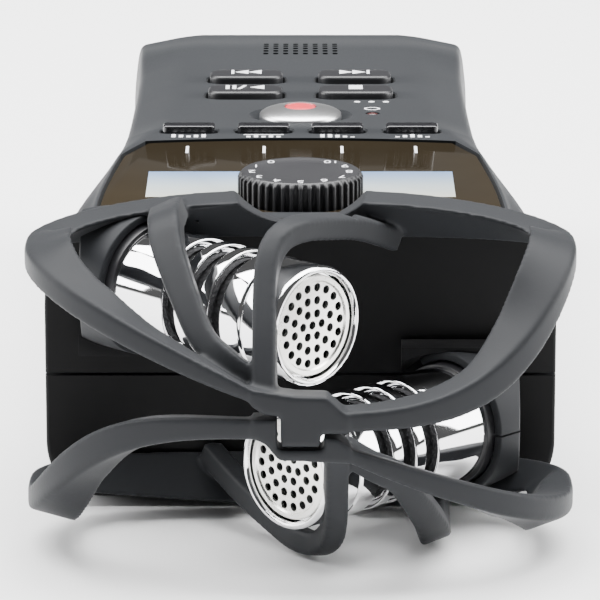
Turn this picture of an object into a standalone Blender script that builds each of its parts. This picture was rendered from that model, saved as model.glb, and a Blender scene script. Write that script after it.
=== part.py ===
# Handheld stereo voice recorder lying on its back, its microphone end towards -Y and its
# controls facing up. Sizes are in millimetres, and world() turns them into metres. Places
# along the recorder are given as t, the distance from the tip of the microphone guard.
import math

import bmesh
import bpy
from mathutils import Vector

MM = 0.001

# Overall size
LENGTH = 137.5
WIDTH = 50.0
HEIGHT = 32.0

# Fits
GAP = 0.3                  # between two pieces that touch
WALL = 1.8                 # thickness of the shells
TRAVEL = 0.4               # stroke of a push button
FLANGE_DROP = 0.6          # from the shell's ceiling to a button's flange

# Body
BODY_FRONT = 28.0          # t of the wall behind the microphones
HEAD_HALF = WIDTH / 2 - 1.1
WAIST_HALF = 18.2
WAIST_T = 89.0
TAIL_FLARE = 0.9
NECK_START = 30.0
NECK_END = 66.0
TOP_EDGE_INSET = 0.9
HEAD_EDGE_INSET = 3.2
PANEL_FLAT_HALF = 12.9
PANEL_EDGE_DROP = 1.1
SHOULDER_DROP = 6.0
BELLY_LIFT = 1.0
TOP_LEVEL = HEIGHT - 4.0   # height of the display's surround
CREASE_T = 66.5            # the button panel slopes down from here
PANEL_SLOPE = math.radians(2.8)
PARTING = 13.0             # height of the joint between the shells
END_BOW = 5.2
END_BOW_LENGTH = 37.5
END_ROUND = 1.4
END_DROP = 0.9
END_DROP_LENGTH = 18.0
EDGE_FADE_FROM_END = 30.0
EDGE_FADE_LENGTH = 22.0
BELLY_SIDE = 4.0           # radius of the long edges of the back
BODY_STATIONS = (31.0, 34.0, 38.0, 43.0, 49.0, 54.5, 61.0, 66.5, 74.5, 82.0, 89.0)

# Microphone guard
GUARD_BACK = BODY_FRONT - GAP
GUARD_WIDEST_T = 17.5
GUARD_FRONT_POWER = 2.1
GUARD_BACK_POWER = 3.2
SEAM_STEP = 0.8            # half the step between the left and right seams of the nose
TONGUE_HALF = 1.75
TONGUE_DEPTH = 1.8
NOSE_LENGTH = 2.8
SCOOP_RADIUS = 7.7
SCOOP_HEIGHT = HEIGHT + 3.6
STRAP_DEPTH = 2.2

# Microphones
MIC_SPACING = 13.4
MIC_OFFSET = 1.5
MIC_FACE_T = 9.1
MIC_RADIUS = 5.5
MIC_WALL = 0.9
MIC_LIP = 0.5
MIC_BORE = MIC_RADIUS - MIC_WALL
MIC_RECESS = MIC_RADIUS - MIC_LIP
MIC_LENGTH = 24.0
MIC_SLOT_START = 7.0
MIC_SLOT = 1.7
MIC_SLOT_PITCH = 2.95
MIC_SLOT_COUNT = 3
MIC_SLOT_ARC = math.radians(300)
MIC_GROOVE = 4.4
HOLDER_FACE = 21.6
HOLDER_WALL = 0.8
HOLDER_HALF = 20.3
HOLDER_OPEN = math.radians(55)

# Display
WINDOW_THICK = 0.9
WINDOW_SINK = 0.15
WINDOW_FAR_T = 61.4
WINDOW_ARCH = 1.3
WINDOW_CORNER_T = 54.5
WINDOW_CORNER_IN = 2.2
WINDOW_NEAR_T = 30.8
LCD_HALF = 14.6
LCD_NEAR_T = 44.2
LCD_FAR_T = 54.6
LCD_THICK = 1.6

# Input dial
DIAL_T = 37.0
DIAL_RADIUS = 5.95
DIAL_TOP = HEIGHT - 1.5
DIAL_HEIGHT = 4.1
DIAL_RIBS = 44
DIAL_RIB_DEPTH = 0.25
SHAFT_RADIUS = 1.5
POT_RADIUS = 4.5

# Function buttons
FUNCTION_T = 65.0
FUNCTION_SIZE = (5.2, 2.0)
FUNCTION_PROUD = 0.7
FUNCTION_NAMES = ("auto_level", "limiter", "lo_cut", "audio")
FUNCTION_X = (-11.2, -3.7, 3.7, 11.2)

# Record button and its lamp
REC_T = 74.5
REC_RADIUS = 4.2
REC_PROUD = 0.9
REC_DISH_RADIUS = 5.15
REC_DISH_DEPTH = 0.8
REC_LENS_RADIUS = 1.5
LED_X = 7.4
LED_T = 75.0
LED_RADIUS = 0.6

# Transport buttons
TRANSPORT_SIZE = (7.8, 5.0)
TRANSPORT_PROUD = 0.75
TRANSPORT_COLUMN = 5.8
TRANSPORT_ROWS = (86.5, 96.5)

# Speaker
SPEAKER_FROM_END = 19.0
SPEAKER_RADIUS = 8.0
SPEAKER_DEPTH = 4.0
GRILLE_COLUMNS = 8
GRILLE_ROWS = 5
GRILLE_PITCH = (1.1, 1.9)
GRILLE_SLOT = (0.6, 1.2)

# Circuit board and rubber key pad
BOARD_LEVEL = 20.0
BOARD_THICK = 1.2
BOARD_NEAR_T = 34.0
BOARD_FAR_T = 109.0
PAD_THICK = 1.0
PAD_HALF = 14.5

# Batteries, two AAA cells side by side
CELL_RADIUS = 5.25
CELL_LENGTH = 44.5
CELL_X = 5.75
CELL_LIFT = 0.25
CELL_LEVEL = WALL + CELL_LIFT + CELL_RADIUS
CELL_NEAR_T = 68.0
CONTACT_THICK = 0.6
TRAY_WALL = 0.8
COVER_HALF = 13.6
COVER_THICK = 1.6
COVER_NEAR_T = 60.0

# Side controls
SIDE_LEVEL = 16.8
SIDE_PROUD = 0.5
JACK_RADIUS = 2.8
JACK_BORE = 1.8
JACK_DEPTH = 11.0
LINE_IN_T = 72.0
PHONES_T = 104.0
VOLUME_T = (83.0, 92.0)
VOLUME_SIZE = (5.0, 3.0)
POWER_T = 72.0
POWER_SIZE = (4.0, 2.4)
POWER_STROKE = 3.0
DELETE_T = 83.0
DELETE_SIZE = (3.6, 3.0)
DOOR_T = 95.0
DOOR_SIZE = (15.0, 5.0)
DOOR_THICK = 1.2
CARD_SIZE = (11.0, 1.0)
CARD_DEPTH = 13.0
USB_T = 110.0
USB_SIZE = (7.6, 2.8)
USB_DEPTH = 5.0

# Back
TRIPOD_T = 46.0
TRIPOD_RADIUS = 4.8
TRIPOD_BORE = 3.0
TRIPOD_DEPTH = 7.0
SCREW_RADIUS = 1.9
SCREW_NEAR_T = 36.0
SCREW_FAR_T = 56.0
SCREW_X = 14.0
SCREW_LENGTH = 8.0
SCREW_SINK = 0.5
SCREW_HEAD = 1.2
SCREW_CROSS = (1.1, 0.25)  # half the length and width of the cross recess

ROUND = 32                 # segments of a large round piece
SMALL_ROUND = 16           # segments of a small round piece


def world(x, t, z):
    return Vector((x, t - LENGTH / 2, z)) * MM


def turn_over(point):
    # Half a turn about the recorder's long axis, which maps the upper half of the head
    # onto the lower half.
    x, t, z = point
    return (-x, t, HEIGHT - z)


def ease(u):
    u = min(max(u, 0.0), 1.0)
    return u * u * (3 - 2 * u)


def blend(knots, u):
    # A smooth curve through (place, value) knots.
    for (u0, a), (u1, b) in zip(knots, knots[1:]):
        if u <= u1:
            return a + (b - a) * ease((u - u0) / (u1 - u0))
    return knots[-1][1]


# Building blocks

def clear_scene():
    for item in list(bpy.data.objects):
        bpy.data.objects.remove(item)


def paint(name, colour, roughness, metallic=0.0):
    finish = bpy.data.materials.get(name) or bpy.data.materials.new(name)
    finish.use_nodes = True
    shader = finish.node_tree.nodes["Principled BSDF"]
    shader.inputs["Base Color"].default_value = (*colour, 1.0)
    shader.inputs["Roughness"].default_value = roughness
    shader.inputs["Metallic"].default_value = metallic
    return finish


def mesh_from(points, faces):
    shape = bmesh.new()
    corners = [shape.verts.new(world(*point)) for point in points]
    for face in faces:
        shape.faces.new([corners[i] for i in face])
    bmesh.ops.recalc_face_normals(shape, faces=shape.faces[:])
    return shape


def loft(rings):
    # A skin over rings of equally many points, with flat ends.
    count = len(rings[0])
    points = [point for ring in rings for point in ring]
    faces = [tuple(range(count)), tuple(range(len(points) - count, len(points)))]
    for a in range(0, len(points) - count, count):
        for k in range(count):
            n = (k + 1) % count
            faces.append((a + k, a + n, a + count + n, a + count + k))
    return mesh_from(points, faces)


def prism(outline, low, high):
    return loft([[(x, t, low) for x, t in outline], [(x, t, high) for x, t in outline]])


def block(x0, x1, t0, t1, z0, z1):
    return prism([(x0, t0), (x1, t0), (x1, t1), (x0, t1)], z0, z1)


def together(shapes):
    # Several shapes that don't touch, as one.
    whole = shapes[0]
    for shape in shapes[1:]:
        corners = [whole.verts.new(corner.co) for corner in shape.verts]
        shape.verts.index_update()
        for face in shape.faces:
            whole.faces.new([corners[corner.index] for corner in face.verts])
        shape.free()
    return whole


def rounded(width, length, radius, cx=0.0, ct=0.0, steps=4):
    # A rectangle with round corners, as an outline.
    outline = []
    for quarter, (sx, st) in enumerate(((1, 1), (-1, 1), (-1, -1), (1, -1))):
        for i in range(steps + 1):
            angle = (quarter + i / steps) * math.pi / 2
            x = cx + sx * (width / 2 - radius) + radius * math.cos(angle)
            t = ct + st * (length / 2 - radius) + radius * math.sin(angle)
            outline.append((x, t))
    return outline


def turned(profile, origin, axis, segments=ROUND, reference=(0, 0, 1)):
    # A closed profile of (radius, distance) turned about an axis. A radius of zero at
    # both ends of the profile closes it on the axis, and otherwise it is a tube.
    axis = Vector(axis).normalized()
    side = Vector(reference).cross(axis).normalized()
    up = axis.cross(side)
    origin = Vector(origin)
    points = []
    rows = []
    for radius, along in profile:
        if radius == 0:
            rows.append([len(points)] * segments)
            points.append(tuple(origin + axis * along))
            continue
        rows.append(list(range(len(points), len(points) + segments)))
        for k in range(segments):
            angle = 2 * math.pi * k / segments
            spoke = side * math.cos(angle) + up * math.sin(angle)
            points.append(tuple(origin + axis * along + spoke * radius))
    if profile[0][0] != 0:
        rows.append(rows[0])
    faces = []
    for lower, upper in zip(rows, rows[1:]):
        for k in range(segments):
            n = (k + 1) % segments
            face = dict.fromkeys((lower[k], lower[n], upper[n], upper[k]))
            if len(face) > 2:
                faces.append(tuple(face))
    return mesh_from(points, faces)


def disc(radius, low, high, x, t, segments=SMALL_ROUND):
    return turned([(0, low), (radius, low), (radius, high), (0, high)],
                  (x, t, 0), (0, 0, 1), segments, (0, 1, 0))


def barrel(radius, start, end, origin, axis, segments=SMALL_ROUND):
    return turned([(0, start), (radius, start), (radius, end), (0, end)],
                  origin, axis, segments)


def arc_ring(inner, outer, start, end, origin, axis, middle, arc, steps=14):
    # Part of a flat ring, centred on the direction called middle.
    axis = Vector(axis).normalized()
    middle = Vector(middle).normalized()
    across = axis.cross(middle)
    origin = Vector(origin)
    rings = []
    for i in range(steps + 1):
        angle = arc * (i / steps - 0.5)
        spoke = middle * math.cos(angle) + across * math.sin(angle)
        rings.append([tuple(origin + axis * along + spoke * radius)
                      for radius, along in ((inner, start), (outer, start), (outer, end),
                                            (inner, end))])
    return loft(rings)


def smooth_path(points, steps):
    # A Catmull-Rom curve through the points.
    ends = [Vector(p) for p in (points[0], *points, points[-1])]
    path = []
    for a, b, c, d in zip(ends, ends[1:], ends[2:], ends[3:]):
        for i in range(steps):
            u = i / steps
            path.append(0.5 * (2 * b + (c - a) * u + (2 * a - 5 * b + 4 * c - d) * u ** 2
                               + (3 * b - a - 3 * c + d) * u ** 3))
    return path + [ends[-1]]


def strap(points, centre, widths, depth, steps=3):
    # A bar whose outer face runs along the points and whose inner face looks at a centre.
    path = smooth_path(points, steps)
    rings = []
    for i, point in enumerate(path):
        along = (path[min(i + 1, len(path) - 1)] - path[max(i - 1, 0)]).normalized()
        inward = Vector(centre) - point
        inward = (inward - along * inward.dot(along)).normalized()
        across = along.cross(inward)
        half = blend(widths, i / (len(path) - 1)) / 2
        rings.append([tuple(point + across * half), tuple(point - across * half),
                      tuple(point - across * half + inward * depth),
                      tuple(point + across * half + inward * depth)])
    return rings


def add(name, shape, finish, sharp=40.0, pivot=None):
    data = bpy.data.meshes.new(name)
    origin = world(*pivot) if pivot else Vector((0, 0, 0))
    bmesh.ops.translate(shape, verts=shape.verts[:], vec=-origin)
    shape.to_mesh(data)
    shape.free()
    data.shade_smooth()
    data.set_sharp_from_angle(angle=math.radians(sharp))
    data.materials.append(finish)
    item = bpy.data.objects.new(name, data)
    item.location = origin
    bpy.context.scene.collection.objects.link(item)
    return item


def guide(name, shape):
    # A shape that only cuts or joins, and isn't part of the recorder.
    item = add(name, shape, paint("guide", (0.8, 0.2, 0.2), 0.5))
    item.hide_render = True
    item.display_type = "WIRE"
    return item


def combine(item, shape, operation="DIFFERENCE"):
    number = len(item.modifiers) + 1
    tool = guide(f"{item.name}_{operation.lower()}_{number}", shape)
    change = item.modifiers.new(tool.name, "BOOLEAN")
    change.operation = operation
    change.solver = "EXACT"
    change.object = tool
    return item


# Form of the body

def neck(t):
    return ease((NECK_END - t) / (NECK_END - NECK_START))


def side_half(t):
    flare = TAIL_FLARE * ((t - WAIST_T) / (LENGTH - WAIST_T)) ** 2
    return WAIST_HALF + (HEAD_HALF - WAIST_HALF) * neck(t) + flare * (1 - neck(t))


def top_half(t):
    return side_half(t) - TOP_EDGE_INSET - HEAD_EDGE_INSET * neck(t)


def panel_level(t):
    fall = END_DROP * ease((t - LENGTH + END_DROP_LENGTH) / END_DROP_LENGTH)
    return TOP_LEVEL - max(0.0, t - CREASE_T) * math.tan(PANEL_SLOPE) - fall


def ceiling(t):
    return panel_level(t) - WALL


def body_ring(station, inset):
    # One section of the body. Stations near the far end bow into an arc.
    behind = ease((station - WINDOW_CORNER_T) / (REC_T - WINDOW_CORNER_T))
    side = side_half(station)
    edge = top_half(station)
    top = panel_level(station) - inset
    floor = BELLY_LIFT * ease((NECK_START + 4 - station) / 6) + inset
    flat = edge - 0.5 + (PANEL_FLAT_HALF - edge + 0.5) * behind
    fade = 1 - ease((station - LENGTH + EDGE_FADE_FROM_END) / EDGE_FADE_LENGTH)
    drop = 0.25 + (PANEL_EDGE_DROP - 0.25) * behind * fade
    half = [(side - BELLY_SIDE, floor), (side - 0.3 * BELLY_SIDE, floor + 0.3 * BELLY_SIDE),
            (side, floor + BELLY_SIDE),
            (side, top - SHOULDER_DROP), (edge + 0.45 * (side - edge), top - drop - 1.5),
            (edge, top - drop - 0.35), (flat, top)]
    half = [(x - inset, z) for x, z in half]
    outline = half + [(-x, z) for x, z in reversed(half)]
    bow = END_BOW * ease((station - LENGTH + END_BOW_LENGTH) / END_BOW_LENGTH)
    return [(x, station - bow * (x / side) ** 2, z) for x, z in outline]


def end_point(x, z, end):
    return (x, end - END_BOW * (x / side_half(end)) ** 2, z)


def squeeze(point, amount, end, inset):
    # Moves a point of the last section inwards by an amount and onto the end face.
    x, _, z = point
    x -= math.copysign(amount, x)
    middle = HEIGHT / 2 - inset
    z += math.copysign(amount, middle - z)
    return end_point(x, z, end)


def body_form(inset):
    start = BODY_FRONT + inset
    end = LENGTH - inset
    stations = sorted([start, *BODY_STATIONS, (WAIST_T + end) / 2, end - 22, end - 10,
                       end - END_ROUND])
    rings = [body_ring(station, inset) for station in stations]
    rings.append([squeeze(point, 0.3 * END_ROUND, end - 0.3 * END_ROUND, inset)
                  for point in rings[-1]])
    rings.append([squeeze(point, END_ROUND, end, inset) for point in rings[-2]])
    # Rings that shrink towards the middle close the bowed end face.
    outer = rings[-1]
    for share in (0.72, 0.4, 0.12):
        rings.append([end_point(x * share, HEIGHT / 2 + (z - HEIGHT / 2) * share, end)
                      for x, t, z in outer])
    return loft(rings)


def body_finish():
    return paint("soft_plastic", (0.115, 0.122, 0.135), 0.55)


def dark_finish():
    return paint("dark_plastic", (0.018, 0.018, 0.02), 0.45)


def shell(name, keep_top):
    item = add(name, body_form(0.0), body_finish(), 30)
    combine(item, body_form(WALL))
    split = PARTING + (GAP / 2 if keep_top else -GAP / 2)
    far = LENGTH + 10
    low, high = (-5, split) if keep_top else (split, HEIGHT + 5)
    combine(item, block(-WIDTH, WIDTH, -5, far, low, high))
    for mic in MICROPHONES:
        origin, axis = mic_axis(mic)
        combine(item, barrel(MIC_RADIUS + GAP, 0, MIC_LENGTH + GAP, origin, axis, ROUND))
    return item


# Microphones

MICROPHONES = ("upper", "lower")


def half_of_head(point, which):
    return tuple(point) if which == "upper" else turn_over(point)


def mic_axis(which):
    # The centre of the microphone's face and the direction back along its barrel.
    origin = half_of_head((MIC_OFFSET, MIC_FACE_T, (HEIGHT + MIC_SPACING) / 2), which)
    back = math.sqrt(0.5)
    return origin, (-back if which == "upper" else back, back, 0)


def build_microphone(which):
    origin, axis = mic_axis(which)
    chrome = paint("chrome", (0.86, 0.86, 0.87), 0.08, 1.0)
    sleeve = turned([(MIC_RECESS, 0), (MIC_RADIUS - 0.35, 0), (MIC_RADIUS, 0.4),
                     (MIC_RADIUS, MIC_GROOVE - 0.2), (MIC_RADIUS - 0.2, MIC_GROOVE),
                     (MIC_RADIUS, MIC_GROOVE + 0.2), (MIC_RADIUS, MIC_LENGTH),
                     (MIC_BORE, MIC_LENGTH), (MIC_BORE, 1.2), (MIC_RECESS, 1.2)],
                    origin, axis)
    item = add(f"{which}_mic_sleeve", sleeve, chrome)
    # The bridge between the ends of each slot is on the side that faces the body.
    front = (math.sqrt(0.5) * (-1 if which == "upper" else 1), -math.sqrt(0.5), 0)
    for i in range(MIC_SLOT_COUNT):
        start = MIC_SLOT_START + i * MIC_SLOT_PITCH
        combine(item, arc_ring(MIC_BORE - 0.4, MIC_RADIUS + 0.4, start, start + MIC_SLOT,
                               origin, axis, front, MIC_SLOT_ARC))
    add(f"{which}_mic_grille", barrel(MIC_RECESS - GAP, 0.4, 0.9, origin, axis, ROUND),
        paint("grille_metal", (0.8, 0.8, 0.78), 0.3, 0.9))
    add(f"{which}_mic_element", barrel(MIC_BORE - GAP, 1.4, 3.4, origin, axis),
        paint("mic_element", (0.05, 0.05, 0.05), 0.6))
    add(f"{which}_mic_core", barrel(MIC_BORE - GAP, 3.7, MIC_LENGTH, origin, axis),
        dark_finish())


def build_holder(which):
    # A clamp in two halves around the back end of the microphone's barrel. Each half is
    # an arc that runs back along the barrel until it meets the body or the guard.
    back = math.sqrt(0.5)
    level = (HEIGHT + MIC_SPACING) / 2
    inner = MIC_RADIUS + GAP
    steps = 10
    for half, sign in (("holder_cap", 1), ("holder", -1)):
        rings = []
        for i in range(steps + 1):
            angle = HOLDER_OPEN + (math.pi - HOLDER_OPEN) * i / steps
            ring = []
            for radius, at_end in ((inner + HOLDER_WALL, False), (inner + HOLDER_WALL, True),
                                   (inner, True), (inner, False)):
                across = radius * math.cos(angle)
                z = level + sign * (radius * math.sin(angle) + GAP / 2)
                along = HOLDER_FACE
                if at_end:
                    along = min((GUARD_BACK - MIC_FACE_T) / back - across,
                                (MIC_OFFSET + HOLDER_HALF) / back + across)
                    along = max(along, HOLDER_FACE + 0.4)
                point = (MIC_OFFSET + back * (across - along),
                         MIC_FACE_T + back * (along + across), z)
                ring.append(half_of_head(point, which))
            rings.append(ring)
        add(f"{which}_mic_{half}", loft(rings), body_finish())


# Microphone guard

def guard_outline(angle):
    # The guard's plan: two superellipses that meet at its widest place. The angle is 0
    # at the nose, 90 at the widest place and 180 at the middle of the back.
    turn = math.radians(angle)
    back = angle > 90
    power = 2 / (GUARD_BACK_POWER if back else GUARD_FRONT_POWER)
    reach = GUARD_BACK - GUARD_WIDEST_T if back else GUARD_WIDEST_T
    x = WIDTH / 2 * math.sin(turn) ** power
    t = GUARD_WIDEST_T - math.copysign(reach * abs(math.cos(turn)) ** power, math.cos(turn))
    return x, t


def rim_levels(angle, x, sweeping):
    # Heights of the rim's outer top and bottom edges. The sweeping side curls in level
    # with the nose, and the other side falls to it in a straight line.
    share = x / (WIDTH / 2)
    middle = HEIGHT / 2
    if angle > 90:
        top = middle + 12.4 + 2.6 * (1 - share ** 2.2)
        return top, middle + 10.2
    if sweeping:
        return middle + 1.2 + 11.2 * share ** 3.55, middle - 0.65 + 10.85 * share ** 4.8
    return (middle + 1.4 + 12.5 * share - 1.5 * share ** 2, middle + 0.8 + 9.4 * share ** 1.15)


def rim_section(angle, side):
    sweeping = side > 0
    x, t = guard_outline(angle)
    before = guard_outline(max(angle - 0.5, 0))
    after = guard_outline(min(angle + 0.5, 180))
    along = Vector((after[0] - before[0], after[1] - before[1])).normalized()
    inward = Vector((-along.y, along.x))
    top, bottom = rim_levels(angle, x, sweeping)
    width = blend([(0, 2.4), (35, 2.9 if sweeping else 3.2), (60, 4.2 if sweeping else 3.4),
                   (90, 4.4), (130, 3.7), (180, 3.7)], angle)
    foot = blend([(0, 2.2), (60, 3.0), (85, 3.2), (115, 0.5), (180, 0.4)], angle)
    if sweeping:
        rise = blend([(0, 0.2), (35, 0.3), (52, 1.2), (66, 2.0), (90, 1.3), (115, -0.4),
                      (180, -0.5)], angle)
    else:
        rise = blend([(0, -0.9), (30, -0.3), (50, 0.7), (72, 1.8), (90, 1.2), (115, -0.4),
                      (180, -0.5)], angle)
    corners = [(x, t, top), (x + inward.x * width, t + inward.y * width, top + rise),
               (x + inward.x * foot, t + inward.y * foot, bottom + 0.3), (x, t, bottom)]
    return [(side * cx, ct, cz) for cx, ct, cz in corners]


def rim_rings():
    angles = [7, 14, 21, 28, 36, 44, 52, 60, 68, 76, 84, 90, 97, 105, 115, 128, 145, 163]
    right = [rim_section(angle, 1) for angle in angles]
    left = [rim_section(angle, -1) for angle in reversed(angles)]
    return right + left


def arm_rings():
    # The bar that rises from the nose on the left and bends back to the rim.
    middle = HEIGHT / 2
    points = [(-3.6, 2.6, middle + 3.0), (-6.4, 3.0, middle + 4.9), (-8.8, 5.0, middle + 6.8),
              (-10.5, 8.2, middle + 9.9), (-12.1, 12.3, middle + 13.4),
              (-12.5, 15.2, middle + 15.2), (-12.5, 19.0, middle + 15.3),
              (-12.5, 25.8, middle + 14.2)]
    return strap(points, (-8, 20, middle + 4), [(0, 2.2), (0.3, 2.4), (0.7, 3.0), (1, 3.2)],
                 STRAP_DEPTH)


def strut_rings():
    # The bar that stands over the microphones and hooks back to the body on the right.
    middle = HEIGHT / 2
    points = [(-3.3, 0.9, middle + 2.6), (-3.3, 4.0, middle + 7.5), (-3.2, 7.5, middle + 11.9),
              (-2.7, 9.6, middle + 14.2), (-1.5, 11.4, middle + 15.45),
              (0.4, 13.8, middle + 15.65), (2.7, 17.5, middle + 14.9),
              (5.4, 22.0, middle + 13.7), (8.9, 27.4, middle + 11.3)]
    return strap(points, (-2, 14, middle + 6), [(0, 2.1), (1, 2.1)], STRAP_DEPTH)


def nose_outline(which):
    # The nose seen from the front. The upper half has the tongue, and the lower half has
    # the notch that the tongue sits in.
    middle = HEIGHT / 2
    left = middle + SEAM_STEP + GAP / 2
    right = middle - SEAM_STEP + GAP / 2
    crown = [(4.6, middle + 1.4), (2.9, middle + 3.0), (-4.8, middle + 3.4)]
    if which == "upper":
        tip = middle - TONGUE_DEPTH
        return [(-5.2, left + 0.5), (-TONGUE_HALF, left), (-TONGUE_HALF, tip),
                (TONGUE_HALF, tip), (TONGUE_HALF, right), (4.6, right)] + crown
    notch = TONGUE_HALF + GAP
    floor = middle + TONGUE_DEPTH + GAP
    edge = [(-5.2, left + 0.5), (-notch, left), (-notch, floor), (notch, floor),
            (notch, right), (4.6, right)]
    return edge + [(4.6, middle + 2.6), (2.9, middle + 3.9), (-4.8, middle + 3.9)]


def build_guard(which):
    outline = nose_outline(which)
    nose = [[(x, t, z) for x, z in outline] for t in (0.0, NOSE_LENGTH)]
    bars = []
    for rings in (rim_rings(), nose, arm_rings(), strut_rings()):
        bars.append(loft([[half_of_head(point, which) for point in ring] for ring in rings]))
    item = add(f"{which}_guard", bars[0], body_finish(), 35)
    for bar in bars[1:]:
        combine(item, bar, "UNION")
    # Room around the microphone and its holder
    origin, axis = mic_axis(which)
    room = MIC_RADIUS + 2 * GAP
    combine(item, barrel(room, -GAP, HOLDER_FACE, origin, axis, ROUND))
    combine(item, barrel(room + HOLDER_WALL, HOLDER_FACE - GAP, 40, origin, axis, ROUND))
    # The scoop in front of the dial
    centre = half_of_head((0, 0, SCOOP_HEIGHT), which)
    combine(item, barrel(SCOOP_RADIUS, 20, 40, centre, (0, 1, 0), ROUND))


# Display and dial

def window_outline(grow):
    half = []
    for t in (WINDOW_NEAR_T, DIAL_T, 46.0, WINDOW_CORNER_T):
        half.append((top_half(t) - 0.9, t))
    corner = half[-1][0] - WINDOW_CORNER_IN
    half.append((corner, WINDOW_FAR_T - WINDOW_ARCH))
    for share in (0.66, 0.33):
        half.append((corner * share, WINDOW_FAR_T - WINDOW_ARCH * share ** 2))
    outline = half + [(0.0, WINDOW_FAR_T)] + [(-x, t) for x, t in reversed(half)]
    middle = (WINDOW_NEAR_T + WINDOW_FAR_T) / 2
    return [(x + math.copysign(grow, x) if x else 0.0, t + math.copysign(grow, t - middle))
            for x, t in outline]


def build_display(top_shell):
    surface = TOP_LEVEL - WINDOW_SINK
    under = surface - WINDOW_THICK
    combine(top_shell, prism(window_outline(GAP), under - GAP, TOP_LEVEL + 3))
    window = add("display_window", prism(window_outline(0.0), under, surface),
                 paint("window", (0.035, 0.028, 0.02), 0.08))
    well = DIAL_RADIUS + DIAL_RIB_DEPTH + GAP
    for item in (window, top_shell):
        combine(item, disc(well, TOP_LEVEL - 5, TOP_LEVEL + 3, 0, DIAL_T, ROUND))
    combine(top_shell, block(-LCD_HALF - GAP, LCD_HALF + GAP, LCD_NEAR_T - GAP,
                             LCD_FAR_T + GAP, TOP_LEVEL - 5, TOP_LEVEL + 1))
    lcd = rounded(2 * LCD_HALF, LCD_FAR_T - LCD_NEAR_T, 0.4, 0,
                  (LCD_NEAR_T + LCD_FAR_T) / 2, 1)
    add("lcd_panel", prism(lcd, under - GAP - LCD_THICK, under - GAP),
        paint("lcd", (0.55, 0.68, 0.75), 0.3))


def dial_ring(radius, level):
    ring = []
    for k in range(2 * DIAL_RIBS):
        reach = radius + (DIAL_RIB_DEPTH if k % 2 else 0.0)
        angle = math.pi * k / DIAL_RIBS
        ring.append((reach * math.cos(angle), DIAL_T + reach * math.sin(angle), level))
    return ring


def build_dial():
    base = DIAL_TOP - DIAL_HEIGHT
    rings = [dial_ring(DIAL_RADIUS - DIAL_RIB_DEPTH, base),
             dial_ring(DIAL_RADIUS - DIAL_RIB_DEPTH, DIAL_TOP - 0.4),
             dial_ring(DIAL_RADIUS - DIAL_RIB_DEPTH - 0.4, DIAL_TOP)]
    dial = add("input_dial", loft(rings), paint("dial", (0.02, 0.02, 0.022), 0.5), 30,
               (0, DIAL_T, base))
    bore = SHAFT_RADIUS + GAP
    combine(dial, disc(bore, TOP_LEVEL - 8, DIAL_TOP - 1.2, 0, DIAL_T))
    deck = BOARD_LEVEL + BOARD_THICK + GAP
    pot_top = base - GAP - 0.4
    add("dial_potentiometer",
        turned([(0, deck), (POT_RADIUS, deck), (POT_RADIUS, pot_top), (SHAFT_RADIUS, pot_top),
                (SHAFT_RADIUS, DIAL_TOP - 1.2 - GAP), (0, DIAL_TOP - 1.2 - GAP)],
               (0, DIAL_T, 0), (0, 0, 1), SMALL_ROUND, (0, 1, 0)),
        paint("component", (0.06, 0.06, 0.065), 0.4))


# Push buttons

def button_levels(t, length, proud):
    # Top of the cap, top of the flange and foot of a button in the sloping panel.
    flange = ceiling(t + length / 2 + 1.0) - FLANGE_DROP
    return panel_level(t) + proud, flange, flange - 0.8


def build_panel_button(top_shell, name, x, t, size, proud, radius, finish):
    top, flange, foot = button_levels(t, size[1], proud)
    width, length = size
    hole = rounded(width + 2 * GAP, length + 2 * GAP, radius + GAP, x, t)
    combine(top_shell, prism(hole, TOP_LEVEL - 8, HEIGHT))
    cap = rounded(width, length, radius, x, t)
    rim = rounded(width - 0.5, length - 0.5, radius - 0.25, x, t)
    skirt = rounded(width + 1.2, length + 1.2, radius + 0.6, x, t)
    rings = [[(a, b, foot) for a, b in skirt], [(a, b, flange) for a, b in skirt],
             [(a, b, flange) for a, b in cap], [(a, b, top - 0.25) for a, b in cap],
             [(a, b, top) for a, b in rim]]
    return add(name, loft(rings), finish, 30, (x, t, foot))


def build_record_button(top_shell):
    top, flange, foot = button_levels(REC_T, 2 * REC_RADIUS, REC_PROUD)
    panel = panel_level(REC_T)
    dish = [(0, panel - REC_DISH_DEPTH), (REC_DISH_RADIUS - 0.5, panel - REC_DISH_DEPTH),
            (REC_DISH_RADIUS, panel + 3), (0, panel + 3)]
    combine(top_shell, turned(dish, (0, REC_T, 0), (0, 0, 1), ROUND, (0, 1, 0)))
    combine(top_shell, disc(REC_RADIUS + GAP, TOP_LEVEL - 8, HEIGHT, 0, REC_T, ROUND))
    lens_seat = REC_LENS_RADIUS + GAP
    edge = top - 0.9
    dome = [(lens_seat, foot), (REC_RADIUS + 0.6, foot), (REC_RADIUS + 0.6, flange),
            (REC_RADIUS, flange), (REC_RADIUS, edge)]
    for share in (0.93, 0.8, 0.6):
        dome.append((REC_RADIUS * share, edge + 0.9 * math.sqrt(1 - share ** 2)))
    dome.append((lens_seat, edge + 0.9 * math.sqrt(1 - (lens_seat / REC_RADIUS) ** 2)))
    axis = (0, 0, 1)
    add("rec_button", turned(dome, (0, REC_T, 0), axis, ROUND, (0, 1, 0)),
        paint("satin_silver", (0.72, 0.72, 0.73), 0.35, 0.6), 30)
    add("rec_button_lens", disc(REC_LENS_RADIUS, foot, top - 0.05, 0, REC_T),
        paint("red_lens", (0.75, 0.05, 0.07), 0.3))
    combine(top_shell, disc(LED_RADIUS + GAP, TOP_LEVEL - 8, HEIGHT, LED_X, LED_T))
    add("rec_led", disc(LED_RADIUS, ceiling(LED_T) - 1.5, panel_level(LED_T) - 0.05, LED_X, LED_T),
        paint("led", (0.25, 0.06, 0.06), 0.2))
    return foot


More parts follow.
